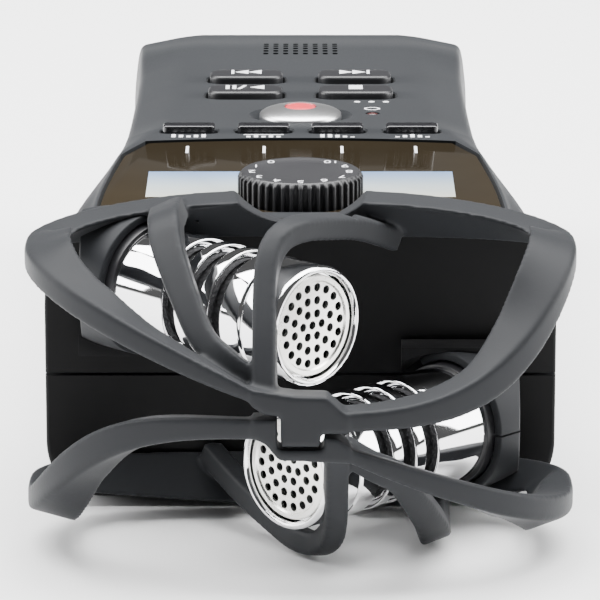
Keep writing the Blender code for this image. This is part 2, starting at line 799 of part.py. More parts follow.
def build_controls(top_shell):
    # Every button, with the place and foot level that the key pad reaches up to.
    glossy = paint("glossy_black", (0.012, 0.012, 0.014), 0.22)
    feet = [(0, REC_T, build_record_button(top_shell))]
    for name, x in zip(FUNCTION_NAMES, FUNCTION_X):
        build_panel_button(top_shell, f"button_{name}", x, FUNCTION_T, FUNCTION_SIZE,
                           FUNCTION_PROUD, 0.6, glossy)
        feet.append((x, FUNCTION_T, button_levels(FUNCTION_T, FUNCTION_SIZE[1], 0)[2]))
    names = (("play_pause_button", "stop_button"), ("forward_button", "rewind_button"))
    for row, t in zip(names, TRANSPORT_ROWS):
        for name, side in zip(row, (-1, 1)):
            x = side * TRANSPORT_COLUMN
            build_panel_button(top_shell, name, x, t, TRANSPORT_SIZE, TRANSPORT_PROUD, 1.6,
                               glossy)
            feet.append((x, t, button_levels(t, TRANSPORT_SIZE[1], 0)[2]))
    return feet


def build_key_pad(feet):
    deck = BOARD_LEVEL + BOARD_THICK + GAP
    near = FUNCTION_T - 3.0
    far = TRANSPORT_ROWS[1] + 3.5
    pad = add("key_pad", block(-PAD_HALF, PAD_HALF, near, far, deck, deck + PAD_THICK),
              paint("rubber", (0.05, 0.05, 0.055), 0.8))
    for x, t, foot in feet:
        key = disc(0.9, deck + 0.2, foot - TRAVEL - GAP, x, t, 8)
        combine(pad, key, "UNION")


# Sides

def side_hole(top_shell, side, t, size):
    width, height = size
    reach = side_half(t)
    outline = rounded(width, height, min(width, height) * 0.3, t, SIDE_LEVEL, 3)
    rings = [[(side * x, a, b) for a, b in outline] for x in (reach - 6, reach + 3)]
    combine(top_shell, loft(rings))


def side_piece(name, side, t, size, outside, depth, finish, flange=0.0, pivot=None):
    # A piece that stands out of a side wall, with a wider foot inside where it has one.
    width, height = size
    reach = side_half(t)
    radius = min(width, height) * 0.3
    outer = rounded(width, height, radius, t, SIDE_LEVEL, 3)
    brim = rounded(width - 0.4, height - 0.4, radius - 0.15, t, SIDE_LEVEL, 3)
    levels = [(reach + outside, brim), (reach + outside - 0.2, outer)]
    if flange:
        wide = rounded(width + 2 * flange, height + 2 * flange, radius + flange, t,
                       SIDE_LEVEL, 3)
        inner = reach - WALL - GAP
        levels += [(inner, outer), (inner, wide), (inner - 0.7, wide)]
    else:
        levels += [(reach - depth, outer)]
    rings = [[(side * x, a, b) for a, b in ring] for x, ring in levels]
    return add(name, loft(rings), finish, 30, pivot)


def build_jack(top_shell, name, t):
    reach = side_half(t)
    combine(top_shell, barrel(JACK_RADIUS + GAP, reach - 5, reach + 5, (0, t, SIDE_LEVEL),
                              (1, 0, 0)))
    end = reach - 0.2
    back = end - JACK_DEPTH - 1.0
    add(name, turned([(0, back), (JACK_RADIUS, back), (JACK_RADIUS, end), (JACK_BORE, end),
                      (JACK_BORE, back + 1.0), (0, back + 1.0)],
                     (0, t, SIDE_LEVEL), (1, 0, 0), SMALL_ROUND),
        paint("jack", (0.03, 0.03, 0.03), 0.4))


def build_sides(top_shell):
    glossy = paint("glossy_black", (0.012, 0.012, 0.014), 0.22)
    steel = paint("steel", (0.6, 0.6, 0.6), 0.3, 1.0)
    build_jack(top_shell, "line_in_jack", LINE_IN_T)
    build_jack(top_shell, "phones_jack", PHONES_T)
    clear = 2 * GAP
    for name, t in zip(("volume_up_button", "volume_down_button"), VOLUME_T):
        side_hole(top_shell, 1, t, [value + clear for value in VOLUME_SIZE])
        side_piece(name, 1, t, VOLUME_SIZE, SIDE_PROUD, 0, glossy, 0.6)
    side_hole(top_shell, -1, DELETE_T, [value + clear for value in DELETE_SIZE])
    side_piece("delete_button", -1, DELETE_T, DELETE_SIZE, SIDE_PROUD, 0, glossy, 0.6)
    slot = (POWER_SIZE[0] + POWER_STROKE + clear, POWER_SIZE[1] + clear)
    side_hole(top_shell, -1, POWER_T + POWER_STROKE / 2, slot)
    side_piece("power_switch", -1, POWER_T, POWER_SIZE, SIDE_PROUD + 0.3, 0, glossy, 0.7)
    side_hole(top_shell, -1, DOOR_T, [value + clear for value in DOOR_SIZE])
    side_piece("card_door", -1, DOOR_T, DOOR_SIZE, -0.05, DOOR_THICK, body_finish(), 0,
               (-side_half(DOOR_T), DOOR_T, SIDE_LEVEL - DOOR_SIZE[1] / 2))
    socket = side_half(DOOR_T) - WALL - GAP
    seat = add("card_socket", block(-socket, -socket + CARD_DEPTH + 2, DOOR_T - 7, DOOR_T + 7,
                                    SIDE_LEVEL - 1.4, SIDE_LEVEL + 3.1), steel)
    half = CARD_SIZE[0] / 2
    low = SIDE_LEVEL - 0.5
    combine(seat, block(-socket - 1, -socket + CARD_DEPTH + GAP, DOOR_T - half - GAP,
                        DOOR_T + half + GAP, low - GAP, low + CARD_SIZE[1] + GAP))
    add("memory_card", block(-socket, -socket + CARD_DEPTH, DOOR_T - half, DOOR_T + half,
                             low, low + CARD_SIZE[1]), dark_finish())
    side_hole(top_shell, -1, USB_T, [value + clear for value in USB_SIZE])
    port = side_piece("usb_port", -1, USB_T, USB_SIZE, -0.2, USB_DEPTH, steel)
    reach = side_half(USB_T)
    width, height = (value - 0.8 for value in USB_SIZE)
    mouth = rounded(width, height, 0.5, USB_T, SIDE_LEVEL, 2)
    combine(port, loft([[(-x, a, b) for a, b in mouth]
                        for x in (reach - USB_DEPTH + 0.6, reach + 2)]))


# Inside and back

def build_board():
    half = top_half(WAIST_T) - WALL - GAP
    add("main_board", block(-half, half, BOARD_NEAR_T, BOARD_FAR_T, BOARD_LEVEL,
                            BOARD_LEVEL + BOARD_THICK),
        paint("board", (0.02, 0.12, 0.05), 0.5))


def build_speaker(top_shell):
    t = LENGTH - SPEAKER_FROM_END
    half = [value / 2 for value in GRILLE_SLOT]
    slots = []
    for column in range(GRILLE_COLUMNS):
        for row in range(GRILLE_ROWS):
            x = (column - (GRILLE_COLUMNS - 1) / 2) * GRILLE_PITCH[0]
            place = t + (row - (GRILLE_ROWS - 1) / 2) * GRILLE_PITCH[1]
            slots.append(block(x - half[0], x + half[0], place - half[1], place + half[1],
                               TOP_LEVEL - 9, HEIGHT))
    combine(top_shell, together(slots))
    top = ceiling(t + SPEAKER_RADIUS) - GAP
    add("speaker_driver",
        turned([(0, top - SPEAKER_DEPTH), (SPEAKER_RADIUS * 0.6, top - SPEAKER_DEPTH),
                (SPEAKER_RADIUS, top - 1.2), (SPEAKER_RADIUS, top), (0, top)],
               (0, t, 0), (0, 0, 1), ROUND, (0, 1, 0)),
        paint("speaker", (0.08, 0.08, 0.08), 0.5))


def build_batteries(bottom_shell):
    far = CELL_NEAR_T + CELL_LENGTH
    opening = block(-COVER_HALF - GAP, COVER_HALF + GAP, COVER_NEAR_T - GAP, LENGTH + 5,
                    -3, COVER_THICK + GAP)
    combine(bottom_shell, opening)
    cover = add("battery_cover", block(-COVER_HALF, COVER_HALF, COVER_NEAR_T, LENGTH + 5,
                                       -3, COVER_THICK), body_finish(), 30)
    combine(cover, body_form(0.0), "INTERSECT")
    foil = paint("cell_wrap", (0.1, 0.22, 0.35), 0.35)
    nickel = paint("nickel", (0.7, 0.68, 0.62), 0.3, 1.0)
    for name, side in (("left", -1), ("right", 1)):
        x = side * CELL_X
        add(f"battery_{name}",
            turned([(0, 0), (CELL_RADIUS - 0.6, 0), (CELL_RADIUS, 0.5),
                    (CELL_RADIUS, CELL_LENGTH - 1.3), (1.9, CELL_LENGTH - 1.0),
                    (1.9, CELL_LENGTH), (0, CELL_LENGTH)],
                   (x, CELL_NEAR_T, CELL_LEVEL), (0, 1, 0), SMALL_ROUND), foil)
        for end, t in (("near", CELL_NEAR_T - GAP - CONTACT_THICK), ("far", far + GAP)):
            add(f"battery_contact_{name}_{end}",
                block(x - 3.6, x + 3.6, t, t + CONTACT_THICK, CELL_LEVEL - 4, CELL_LEVEL + 4),
                nickel)
    reach = CELL_X + CELL_RADIUS + GAP
    near_end = CELL_NEAR_T - 2 * GAP - CONTACT_THICK
    far_end = far + 2 * GAP + CONTACT_THICK
    ceiling_of_bay = CELL_LEVEL + CELL_RADIUS + GAP
    floor = COVER_THICK + 2 * GAP
    tray = add("battery_tray", block(-reach - TRAY_WALL, reach + TRAY_WALL,
                                     near_end - TRAY_WALL, far_end + TRAY_WALL, floor,
                                     ceiling_of_bay + TRAY_WALL), dark_finish())
    combine(tray, block(-reach, reach, near_end, far_end, floor - 2, ceiling_of_bay))


def build_back(bottom_shell):
    combine(bottom_shell, disc(TRIPOD_RADIUS + GAP, -3, 4, 0, TRIPOD_T, ROUND))
    add("tripod_insert",
        turned([(TRIPOD_BORE, 0), (TRIPOD_RADIUS, 0), (TRIPOD_RADIUS, TRIPOD_DEPTH),
                (TRIPOD_BORE, TRIPOD_DEPTH)], (0, TRIPOD_T, 0), (0, 0, 1), ROUND, (0, 1, 0)),
        paint("brass", (0.62, 0.45, 0.2), 0.35, 1.0))
    steel = paint("steel", (0.6, 0.6, 0.6), 0.3, 1.0)
    number = 0
    for t in (SCREW_NEAR_T, SCREW_FAR_T):
        for side in (-1, 1):
            number += 1
            x = side * SCREW_X
            combine(bottom_shell, disc(SCREW_RADIUS + GAP, -3, 4, x, t))
            head = SCREW_SINK + SCREW_HEAD
            shank = SCREW_RADIUS * 0.55
            item = add(f"case_screw_{number}",
                       turned([(0, SCREW_SINK), (SCREW_RADIUS, SCREW_SINK), (SCREW_RADIUS, head),
                               (shank, head), (shank, SCREW_LENGTH), (0, SCREW_LENGTH)],
                              (x, t, 0), (0, 0, 1), SMALL_ROUND, (0, 1, 0)), steel)
            for across, along in (SCREW_CROSS, reversed(SCREW_CROSS)):
                combine(item, block(x - across, x + across, t - along, t + along, -1,
                                    SCREW_SINK + SCREW_HEAD / 2))


def build_recorder():
    clear_scene()
    top_shell = shell("top_shell", True)
    bottom_shell = shell("bottom_shell", False)
    for which in MICROPHONES:
        build_guard(which)
        build_holder(which)
        build_microphone(which)
    build_display(top_shell)
    build_dial()
    build_key_pad(build_controls(top_shell))
    build_sides(top_shell)
    build_speaker(top_shell)
    build_board()
    build_batteries(bottom_shell)
    build_back(bottom_shell)


build_recorder()
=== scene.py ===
import math

import bmesh
import bpy
import numpy as np
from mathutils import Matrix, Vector


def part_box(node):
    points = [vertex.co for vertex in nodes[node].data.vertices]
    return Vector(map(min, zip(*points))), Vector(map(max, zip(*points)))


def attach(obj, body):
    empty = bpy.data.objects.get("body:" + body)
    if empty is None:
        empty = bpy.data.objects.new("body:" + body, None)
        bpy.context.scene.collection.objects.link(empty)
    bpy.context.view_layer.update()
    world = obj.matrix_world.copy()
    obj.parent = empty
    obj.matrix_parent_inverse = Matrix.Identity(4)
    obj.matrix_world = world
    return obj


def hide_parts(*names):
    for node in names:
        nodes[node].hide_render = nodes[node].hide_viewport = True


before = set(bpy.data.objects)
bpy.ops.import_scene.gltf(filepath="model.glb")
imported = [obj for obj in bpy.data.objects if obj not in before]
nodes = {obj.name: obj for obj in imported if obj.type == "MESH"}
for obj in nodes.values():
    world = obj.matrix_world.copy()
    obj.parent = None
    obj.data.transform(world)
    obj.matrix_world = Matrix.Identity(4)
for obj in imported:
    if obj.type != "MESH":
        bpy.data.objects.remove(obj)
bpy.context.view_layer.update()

mm = 0.001

body = {"length": 137.5, "width": 50.0, "height": 32.0, "front": 28.0, "wall": 1.8,
        "headHalf": 23.9, "waistHalf": 18.2, "waistAt": 89.0, "tailFlare": 0.9,
        "neckStart": 30.0, "neckEnd": 66.0, "topInset": 0.9, "headInset": 3.2,
        "flatHalf": 12.9, "edgeDrop": 1.1, "shoulderDrop": 6.0, "bellyLift": 1.0,
        "bellySide": 4.0, "topLevel": 28.0, "creaseAt": 66.5, "panelSlope": 2.8,
        "parting": 13.0, "gap": 0.3, "endBow": 5.2, "endBowLength": 37.5, "endRound": 1.4,
        "middle": 12.0, "endDrop": 0.9, "endDropLength": 18.0,
        "edgeFadeFromEnd": 30.0, "edgeFadeLength": 22.0}
halves = ("upper", "lower")


# Small tools for shapes. Places are in millimetres as (across, along from the nose, height).

def toFrame(points):
    return (np.asarray(points, float) - (0.0, body["length"] / 2, 0.0)) * mm


def inMillimetres(node):
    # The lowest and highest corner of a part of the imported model, in millimetres.
    low, high = (np.array(corner) / mm + (0.0, body["length"] / 2, 0.0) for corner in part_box(node))
    return low, high


def middleOf(node):
    low, high = inMillimetres(node)
    return (low + high) / 2, high - low


def extentOf(node):
    # The lowest corner, the highest corner and the middle of a part.
    low, high = inMillimetres(node)
    return low, high, (low + high) / 2


def eased(u):
    u = np.clip(u, 0.0, 1.0)
    return u * u * (3 - 2 * u)


def blended(knots, u):
    # A curve through (place, value) knots that leaves and reaches each of them level.
    places, values = np.array(knots, float).T
    i = np.clip(np.searchsorted(places, u, side="right") - 1, 0, len(places) - 2)
    share = eased((u - places[i]) / (places[i + 1] - places[i]))
    return values[i] + (values[i + 1] - values[i]) * share


def unit(vectors):
    return vectors / np.maximum(np.linalg.norm(vectors, axis=-1, keepdims=True), 1e-9)


def softened(corners, radius, steps=4):
    # Each corner of a closed outline becomes a quadratic arc between two points at the radius
    # from the corner, or at 0.45 of the edge where that is shorter.
    before = np.roll(corners, 1, axis=-2) - corners
    after = np.roll(corners, -1, axis=-2) - corners
    radius = np.broadcast_to(radius, corners.shape[:-1])[..., None]
    start = corners + unit(before) * np.minimum(radius, 0.45 * np.linalg.norm(before, axis=-1, keepdims=True))
    end = corners + unit(after) * np.minimum(radius, 0.45 * np.linalg.norm(after, axis=-1, keepdims=True))
    u = np.linspace(0.0, 1.0, steps + 1)[:, None]
    arcs = ((1 - u) ** 2 * start[..., None, :] + 2 * u * (1 - u) * corners[..., None, :]
            + u ** 2 * end[..., None, :])
    return arcs.reshape(*corners.shape[:-2], -1, corners.shape[-1])


def gridFaces(rows, columns, wrapRows=False):
    # Quads between neighbours on a grid whose columns close on themselves.
    a = np.arange(rows if wrapRows else rows - 1)[:, None] * columns
    b = (a + columns) % (rows * columns)
    k = np.arange(columns)[None, :]
    n = (k + 1) % columns
    return np.stack([a + k, a + n, b + n, b + k], axis=-1).reshape(-1, 4)


def lofted(grid, wrapRows=False):
    # A skin over a grid of rings, as points and faces, with flat ends unless it is a loop.
    rows, columns = grid.shape[:2]
    faces = gridFaces(rows, columns, wrapRows).tolist()
    if not wrapRows:
        faces.append(list(range(columns))[::-1])
        faces.append(list(range((rows - 1) * columns, rows * columns)))
    return grid.reshape(-1, 3), faces


def gathered(*shapes):
    # Several shapes as one.
    points = np.concatenate([shape[0] for shape in shapes])
    starts = np.cumsum([0] + [len(shape[0]) for shape in shapes[:-1]])
    faces = [[corner + int(start) for corner in face]
             for start, shape in zip(starts, shapes) for face in shape[1]]
    return points, faces


def meshPiece(name, shape, finish=None, sharp=35.0, rider="recorder"):
    # A piece from points and faces. Doubles are merged and the faces turned outwards.
    points, faces = shape
    data = bpy.data.meshes.new(name)
    data.from_pydata(toFrame(points).tolist(), [], [list(face) for face in faces])
    work = bmesh.new()
    work.from_mesh(data)
    bmesh.ops.remove_doubles(work, verts=work.verts[:], dist=2e-7)
    bmesh.ops.recalc_face_normals(work, faces=work.faces[:])
    work.to_mesh(data)
    work.free()
    data.shade_smooth()
    data.set_sharp_from_angle(angle=math.radians(sharp))
    piece = bpy.data.objects.new(name, data)
    bpy.context.scene.collection.objects.link(piece)
    if finish:
        data.materials.append(finish)
        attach(piece, rider)
    return piece


def dressed(piece, finish):
    # The finish and the body of a piece that was shaped bare.
    piece.data.materials.append(finish)
    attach(piece, "recorder")


def settled(piece, sharp=35.0):
    # The piece's modifiers become its mesh.
    data = bpy.data.meshes.new_from_object(piece.evaluated_get(bpy.context.evaluated_depsgraph_get()))
    piece.modifiers.clear()
    piece.data = data
    data.shade_smooth()
    data.set_sharp_from_angle(angle=math.radians(sharp))
    return piece


def carved(piece, *groups, sharp=35.0):
    # Cuts groups of shapes out of a piece. The shapes of one group don't touch.
    for group in groups:
        tool = meshPiece(piece.name + "Tool", gathered(*group))
        change = piece.modifiers.new("carve", "BOOLEAN")
        change.operation = "DIFFERENCE"
        change.solver = "EXACT"
        change.object = tool
        settled(piece, sharp)
        bpy.data.objects.remove(tool)
    return piece


def beveled(piece, width, segments=2, angle=30.0):
    change = piece.modifiers.new("edges", "BEVEL")
    change.width = width * mm
    change.segments = segments
    change.limit_method = "ANGLE"
    change.angle_limit = math.radians(angle)
    change.harden_normals = True
    return piece


def axes(axis, reference=(0.0, 0.0, 1.0)):
    axis = unit(np.array(axis, float))
    side = unit(np.cross(reference, axis))
    return axis, side, np.cross(axis, side)


def turned(profile, origin, axis, segments=96, closed=True, reference=(0.0, 0.0, 1.0)):
    # A profile of (radius, distance along) swept round an axis. A closed profile makes a ring,
    # and an open one starts and ends on the axis.
    axis, side, up = axes(axis, reference)
    angle = np.linspace(0.0, 2 * np.pi, segments, endpoint=False)
    profile = np.asarray(profile, float)
    spoke = side * np.cos(angle)[:, None] + up * np.sin(angle)[:, None]
    grid = (np.array(origin, float) + profile[:, None, 1, None] * axis
            + profile[:, None, 0, None] * spoke[None])
    if closed:
        return lofted(grid, True)
    points, faces = grid.reshape(-1, 3), gridFaces(len(profile), segments).tolist()
    return points, faces


def ringProfile(inner, outer, start, end, radius, steps=4):
    # The cross section of a ring with softened edges.
    corners = np.array([(inner, start), (outer, start), (outer, end), (inner, end)], float)
    return softened(corners, radius, steps)


def roundBar(radius, start, end, origin, axis, segments=32, soft=0.0, reference=(0.0, 0.0, 1.0)):
    # A plain round bar with eased rims.
    corners = [(0.0, start)]
    for along, sign in ((start, 1), (end, -1)):
        for turn in (np.linspace(0, np.pi / 2, 5) if soft else [np.pi / 2]):
            share = turn if sign > 0 else np.pi / 2 - turn
            corners.append((radius - soft + soft * np.sin(share), along + sign * soft * (1 - np.cos(share))))
    corners.append((0.0, end))
    return turned(corners, origin, axis, segments, False, reference=reference)


def rounded(width, length, radius, cx=0.0, ct=0.0, steps=6):
    # A rectangle with round corners, as an outline of points.
    turn = np.linspace(0, np.pi / 2, steps + 1)
    quarter = np.arange(4)[:, None]
    signs = np.array([(1, 1), (-1, 1), (-1, -1), (1, -1)], float)[:, None]
    angle = quarter * np.pi / 2 + turn
    corner = signs * (width / 2 - radius, length / 2 - radius)
    points = corner + radius * np.stack([np.cos(angle), np.sin(angle)], axis=-1)
    return points.reshape(-1, 2) + (cx, ct)


def prism(outline, low, high):
    outline = np.asarray(outline, float)
    return lofted(np.stack([np.column_stack([outline, np.full(len(outline), z)]) for z in (low, high)]))


def block(x0, x1, t0, t1, z0, z1):
    return prism([(x0, t0), (x1, t0), (x1, t1), (x0, t1)], z0, z1)


def sidePrism(outline, first, second):
    # An outline of (along, height) drawn out across the recorder.
    return lofted(np.stack([np.column_stack([np.full(len(outline), x), outline]) for x in (first, second)]))


def spun(profile, place, segments):
    # A profile turned about an upright axis, from axis to axis.
    return turned(profile, (place[0], place[1], 0), (0, 0, 1), segments, False, reference=(0, 1, 0))


def post(radius, low, high, place, segments):
    # An upright round bar.
    return roundBar(radius, low, high, (place[0], place[1], 0), (0, 0, 1), segments, reference=(0, 1, 0))


# Small tools for finishes.

class Wire:
    # An output of a shader node. Sums on it add Math nodes.
    def __init__(self, finish, socket):
        self.finish = finish
        self.socket = socket

    def sum(self, operation, first, second=0.0):
        return self.finish.make("ShaderNodeMath", {"operation": operation}, {0: first, 1: second})

    def __add__(self, other):
        return self.sum("ADD", self, other)

    def __sub__(self, other):
        return self.sum("SUBTRACT", self, other)

    def __rsub__(self, other):
        return self.sum("SUBTRACT", other, self)

    def __mul__(self, other):
        return self.sum("MULTIPLY", self, other)

    def __truediv__(self, other):
        return self.sum("DIVIDE", self, other)

    def __rtruediv__(self, other):
        return self.sum("DIVIDE", other, self)

    def __gt__(self, other):
        return self.sum("GREATER_THAN", self, other)

    def __lt__(self, other):
        return self.sum("LESS_THAN", self, other)

    __radd__ = __add__
    __rmul__ = __mul__


class Finish:
    # A material with a Principled shader, whose constant values are given by name.
    def __init__(self, name, **values):
        self.material = bpy.data.materials.new(name)
        self.material.use_nodes = True
        self.tree = self.material.node_tree
        self.shader = self.tree.nodes["Principled BSDF"]
        for socket, value in values.items():
            self.set(socket.replace("_", " "), value)

    def set(self, socket, value):
        if isinstance(value, Wire):
            self.tree.links.new(value.socket, self.shader.inputs[socket])
        else:
            self.shader.inputs[socket].default_value = (*value, 1.0) if isinstance(value, tuple) else value
        return self

    def make(self, kind, settings=None, inputs=None, output=0):
        node = self.tree.nodes.new(kind)
        for key, value in (settings or {}).items():
            if key == "stops":
                for place, colour in value[2:]:
                    node.color_ramp.elements.new(place)
                for element, (place, colour) in zip(node.color_ramp.elements, sorted(value)):
                    element.position = place
                    element.color = (*colour, 1.0)
            else:
                setattr(node, key, value)
        for key, value in (inputs or {}).items():
            if isinstance(value, Wire):
                self.tree.links.new(value.socket, node.inputs[key])
            else:
                colour = isinstance(value, tuple) and len(value) == 3 and node.inputs[key].type == "RGBA"
                node.inputs[key].default_value = (*value, 1.0) if colour else value
        return Wire(self, node.outputs[output])

    def here(self):
        return self.make("ShaderNodeTexCoord", output="Object")

    def parts(self):
        # The place on the object as three numbers, in millimetres.
        place = self.here()
        return [self.make("ShaderNodeSeparateXYZ", {}, {0: place}, i) * 1000.0 for i in range(3)]

    def noise(self, scale, detail=2.0, rough=0.5, stretch=None):
        place = self.here()
        if stretch:
            place = self.make("ShaderNodeMapping", {}, {"Vector": place, "Scale": stretch})
        return self.make("ShaderNodeTexNoise", {}, {"Vector": place, "Scale": scale, "Detail": detail,
                                                    "Roughness": rough})

    def mixed(self, share, first, second):
        kind = {"data_type": "RGBA"}
        return self.make("ShaderNodeMix", kind, {0: share, 6: first, 7: second}, 2)

    def bumped(self, height, distance, strength=1.0):
        bump = self.make("ShaderNodeBump", {}, {"Strength": strength, "Distance": distance * mm,
                                                "Height": height})
        return self.set("Normal", bump)

    def within(self, value, low, high):
        # One inside a range and zero outside it.
        return (value > low) * (value < high)


# The floor, the lights and the camera.

stage = {"floor": (0.93, 0.93, 0.93), "sky": (1.0, 1.0, 1.0), "skyPower": 0.1,
         "cameraAt": (-0.05, 68.75 - 455.33, 129.71), "tilt": 75.2, "lens": 276.0}
softboxes = {
    # place (across, along, height) in millimetres, size (wide, high), power and target
    "overhead": ((0, 170, 640), (1100, 560), 27.0, (0, 90, 0)),
    "leftBox": ((-620, 130, 300), (360, 520), 6.0, (0, 40, 15)),
    "rightBox": ((620, 130, 300), (360, 520), 6.0, (0, 40, 15)),
}


def areaLight(name, place, size, power, target):
    light = bpy.data.lights.new(name, "AREA")
    light.shape = "RECTANGLE"
    light.size, light.size_y = (value * mm for value in size)
    light.energy = power
    lamp = bpy.data.objects.new(name, light)
    lamp.location = toFrame(place)
    lamp.rotation_euler = Vector(toFrame(target) - toFrame(place)).to_track_quat("-Z", "Y").to_euler()
    bpy.context.scene.collection.objects.link(lamp)


def makeStage():
    scene = bpy.context.scene
    world = bpy.data.worlds.new("studio")
    scene.world = world
    world.use_nodes = True
    sky = world.node_tree.nodes["Background"]
    sky.inputs["Color"].default_value = (*stage["sky"], 1.0)
    sky.inputs["Strength"].default_value = stage["skyPower"]
    paper = Finish("paper", Base_Color=stage["floor"], Roughness=0.95)
    # The floor is a flat sheet, level with the lowest point of the recorder.
    u = np.array([(-1, -1), (1, -1), (1, 1), (-1, 1)], float) * 4000
    points = np.column_stack([u[:, 0], u[:, 1] + 60, np.zeros(4)])
    floor = meshPiece("floor", (points, [(0, 1, 2, 3)]))
    floor.data.materials.append(paper.material)
    for name, (place, size, power, target) in softboxes.items():
        areaLight(name, place, size, power, target)
    camera = bpy.data.objects.new("camera", bpy.data.cameras.new("camera"))
    camera.data.lens = stage["lens"]
    camera.data.sensor_width = 36.0
    camera.location = toFrame(stage["cameraAt"])
    camera.rotation_euler = (math.radians(stage["tilt"]), 0, 0)
    camera.data.clip_start = 0.02
    camera.data.clip_end = 20
    scene.collection.objects.link(camera)
    scene.camera = camera


# Finishes.

def toned(colour, factor):
    return tuple(min(1.0, value * factor) for value in colour)


def softTouch(name, colour, roughness=0.52, shadeBefore=None):
    # Matt soft-touch coat: a fine even grain, and a slow drift in tone and shine. Before a place
    # along the body the front wall turns near black: partly a darker wall, mostly painted shade.
    finish = Finish(name, Specular_IOR_Level=0.13, Sheen_Weight=0.06, Sheen_Roughness=0.35)
    drift = finish.noise(60.0, 3.0)
    grain = finish.noise(5200.0, 2.0, 0.6)
    tone = finish.mixed(drift * 0.7 + grain * 0.3, toned(colour, 0.88), toned(colour, 1.16))
    if shadeBefore:
        # Painted shade: before this place the front wall turns near black, well below the shell's own grey.
        front = finish.parts()[1] < shadeBefore - body["length"] / 2
        tone = finish.mixed(front, tone, (0.0028, 0.0028, 0.0031))
    finish.set("Base Color", tone)
    finish.set("Roughness", grain * 0.12 + drift * 0.08 + (roughness - 0.1))
    finish.bumped(grain, 0.012, 0.5)
    return finish.material


def moulded(name, colour, roughness=0.35, grain=0.006, scale=3800.0, coat=0.0):
    # Plain moulded plastic with a faint texture.
    finish = Finish(name, Specular_IOR_Level=0.5, Coat_Weight=coat, Coat_Roughness=0.12)
    speckle = finish.noise(scale, 2.0, 0.55)
    smear = finish.noise(140.0, 3.0)
    finish.set("Base Color", finish.mixed(speckle, toned(colour, 0.85), toned(colour, 1.15)))
    finish.set("Roughness", smear * 0.12 + speckle * 0.06 + (roughness - 0.09))
    finish.bumped(speckle, grain, 0.5)
    return finish.material


def metal(name, colour, roughness, smear=0.04, brushed=None, grain=0.002):
    # Metal with slight smears. A stretch along one axis makes brush lines.
    finish = Finish(name, Metallic=1.0)
    cloud = finish.noise(220.0, 4.0)
    lines = finish.noise(900.0, 3.0, 0.6, brushed) if brushed else finish.noise(4200.0, 2.0)
    finish.set("Base Color", finish.mixed(cloud, toned(colour, 0.95), colour))
    finish.set("Roughness", cloud * smear + lines * smear + (roughness - smear))
    finish.bumped(lines, grain, 0.35)
    return finish.material


def makeFinishes():
    made = {
        "soft": softTouch("softTouchGrey", (0.017, 0.0181, 0.0202)),
        # The shell is a slightly darker copy of the guard's grey: painted shade that keeps the panel below the
        # guard's lit tops.
        "shell": softTouch("softTouchShell", (0.0150, 0.0164, 0.0186), shadeBefore=28.3),
        # The ledge in the recess between the microphones takes a near-black grey: partly its darker plastic, partly
        # painted shade.
        "inner": softTouch("innerWall", (0.0035, 0.0035, 0.004), 0.6),
        "black": moulded("satinBlack", (0.014, 0.014, 0.016), 0.38),
        "gloss": moulded("glossBlack", (0.010, 0.010, 0.012), 0.24, 0.002, coat=0.25),
        "dial": moulded("dialBlack", (0.016, 0.016, 0.018), 0.42, 0.02, 5200.0),
        "icon": moulded("printedWhite", (0.78, 0.78, 0.8), 0.5),
        "chrome": metal("chrome", (0.93, 0.93, 0.94), 0.045, 0.02),
        "steel": metal("steel", (0.62, 0.62, 0.63), 0.28, 0.06, (1.0, 1.0, 12.0)),
        "nickel": metal("nickel", (0.72, 0.69, 0.62), 0.3),
        "brass": metal("brass", (0.72, 0.52, 0.26), 0.3, 0.06),
        "silver": metal("satinSilver", (0.8, 0.8, 0.81), 0.3, 0.04),
        "plate": metal("grillePlate", (0.93, 0.92, 0.88), 0.28, 0.05),
        "rubber": moulded("rubber", (0.03, 0.03, 0.033), 0.75, 0.02),
    }
    # Open foam: painted shade darkens the pits between pale crumbs
    foam = Finish("sponge", Roughness=0.95)
    cells = foam.make("ShaderNodeTexVoronoi", {}, {"Vector": foam.here(), "Scale": 2600.0})
    foam.set("Base Color", foam.mixed(cells * 1.3, (0.03, 0.03, 0.032), (0.005, 0.005, 0.006)))
    foam.bumped(cells, 0.15, 0.8)
    made["foam"] = foam.material
    lens = Finish("redLens", Roughness=0.3, Specular_IOR_Level=0.5, Subsurface_Weight=0.15)
    glow = lens.noise(900.0)
    lens.set("Base Color", lens.mixed(glow, (0.62, 0.03, 0.045), (0.78, 0.06, 0.08)))
    made["lens"] = lens.material
    lamp = Finish("lamp", Roughness=0.15, Transmission_Weight=0.3)
    lamp.set("Base Color", lamp.mixed(lamp.noise(1200.0), (0.07, 0.02, 0.02), (0.1, 0.03, 0.03)))
    made["lamp"] = lamp.material
    board = Finish("solderMask", Roughness=0.4)
    board.set("Base Color", board.make("ShaderNodeTexBrick", {}, {
        "Vector": board.here(), "Scale": 260.0, "Color1": (0.02, 0.13, 0.05), "Color2": (0.03, 0.16, 0.07),
        "Mortar": (0.05, 0.24, 0.1)}))
    made["board"] = board.material
    wrap = Finish("cellWrap", Roughness=0.3, Coat_Weight=0.5)
    band = wrap.within(wrap.parts()[1], 20.0, 36.0)
    wrap.set("Base Color", wrap.mixed(band, (0.05, 0.05, 0.055), (0.62, 0.5, 0.24)))
    made["wrap"] = wrap.material
    print("finishes made")
    return made


makeStage()
finishes = makeFinishes()


# The two halves of the microphone guard.

guard = {"back": 27.7, "widest": 17.5, "frontPower": 2.1, "backPower": 3.2, "nose": 2.8,
         "scoopRadius": 7.7, "scoopHeight": 35.6, "seamStep": 0.8, "tongueHalf": 1.75,
         "tongueDepth": 1.8, "strapDepth": 2.2, "soft": 0.36, "voxel": 0.2, "smoothing": 3}


def halfOfHead(points, which):
    # Half a turn about the long axis takes the upper half of the head onto the lower one.
    if which == "upper":
        return points
    return points * (-1.0, 1.0, -1.0) + (0.0, 0.0, body["height"])


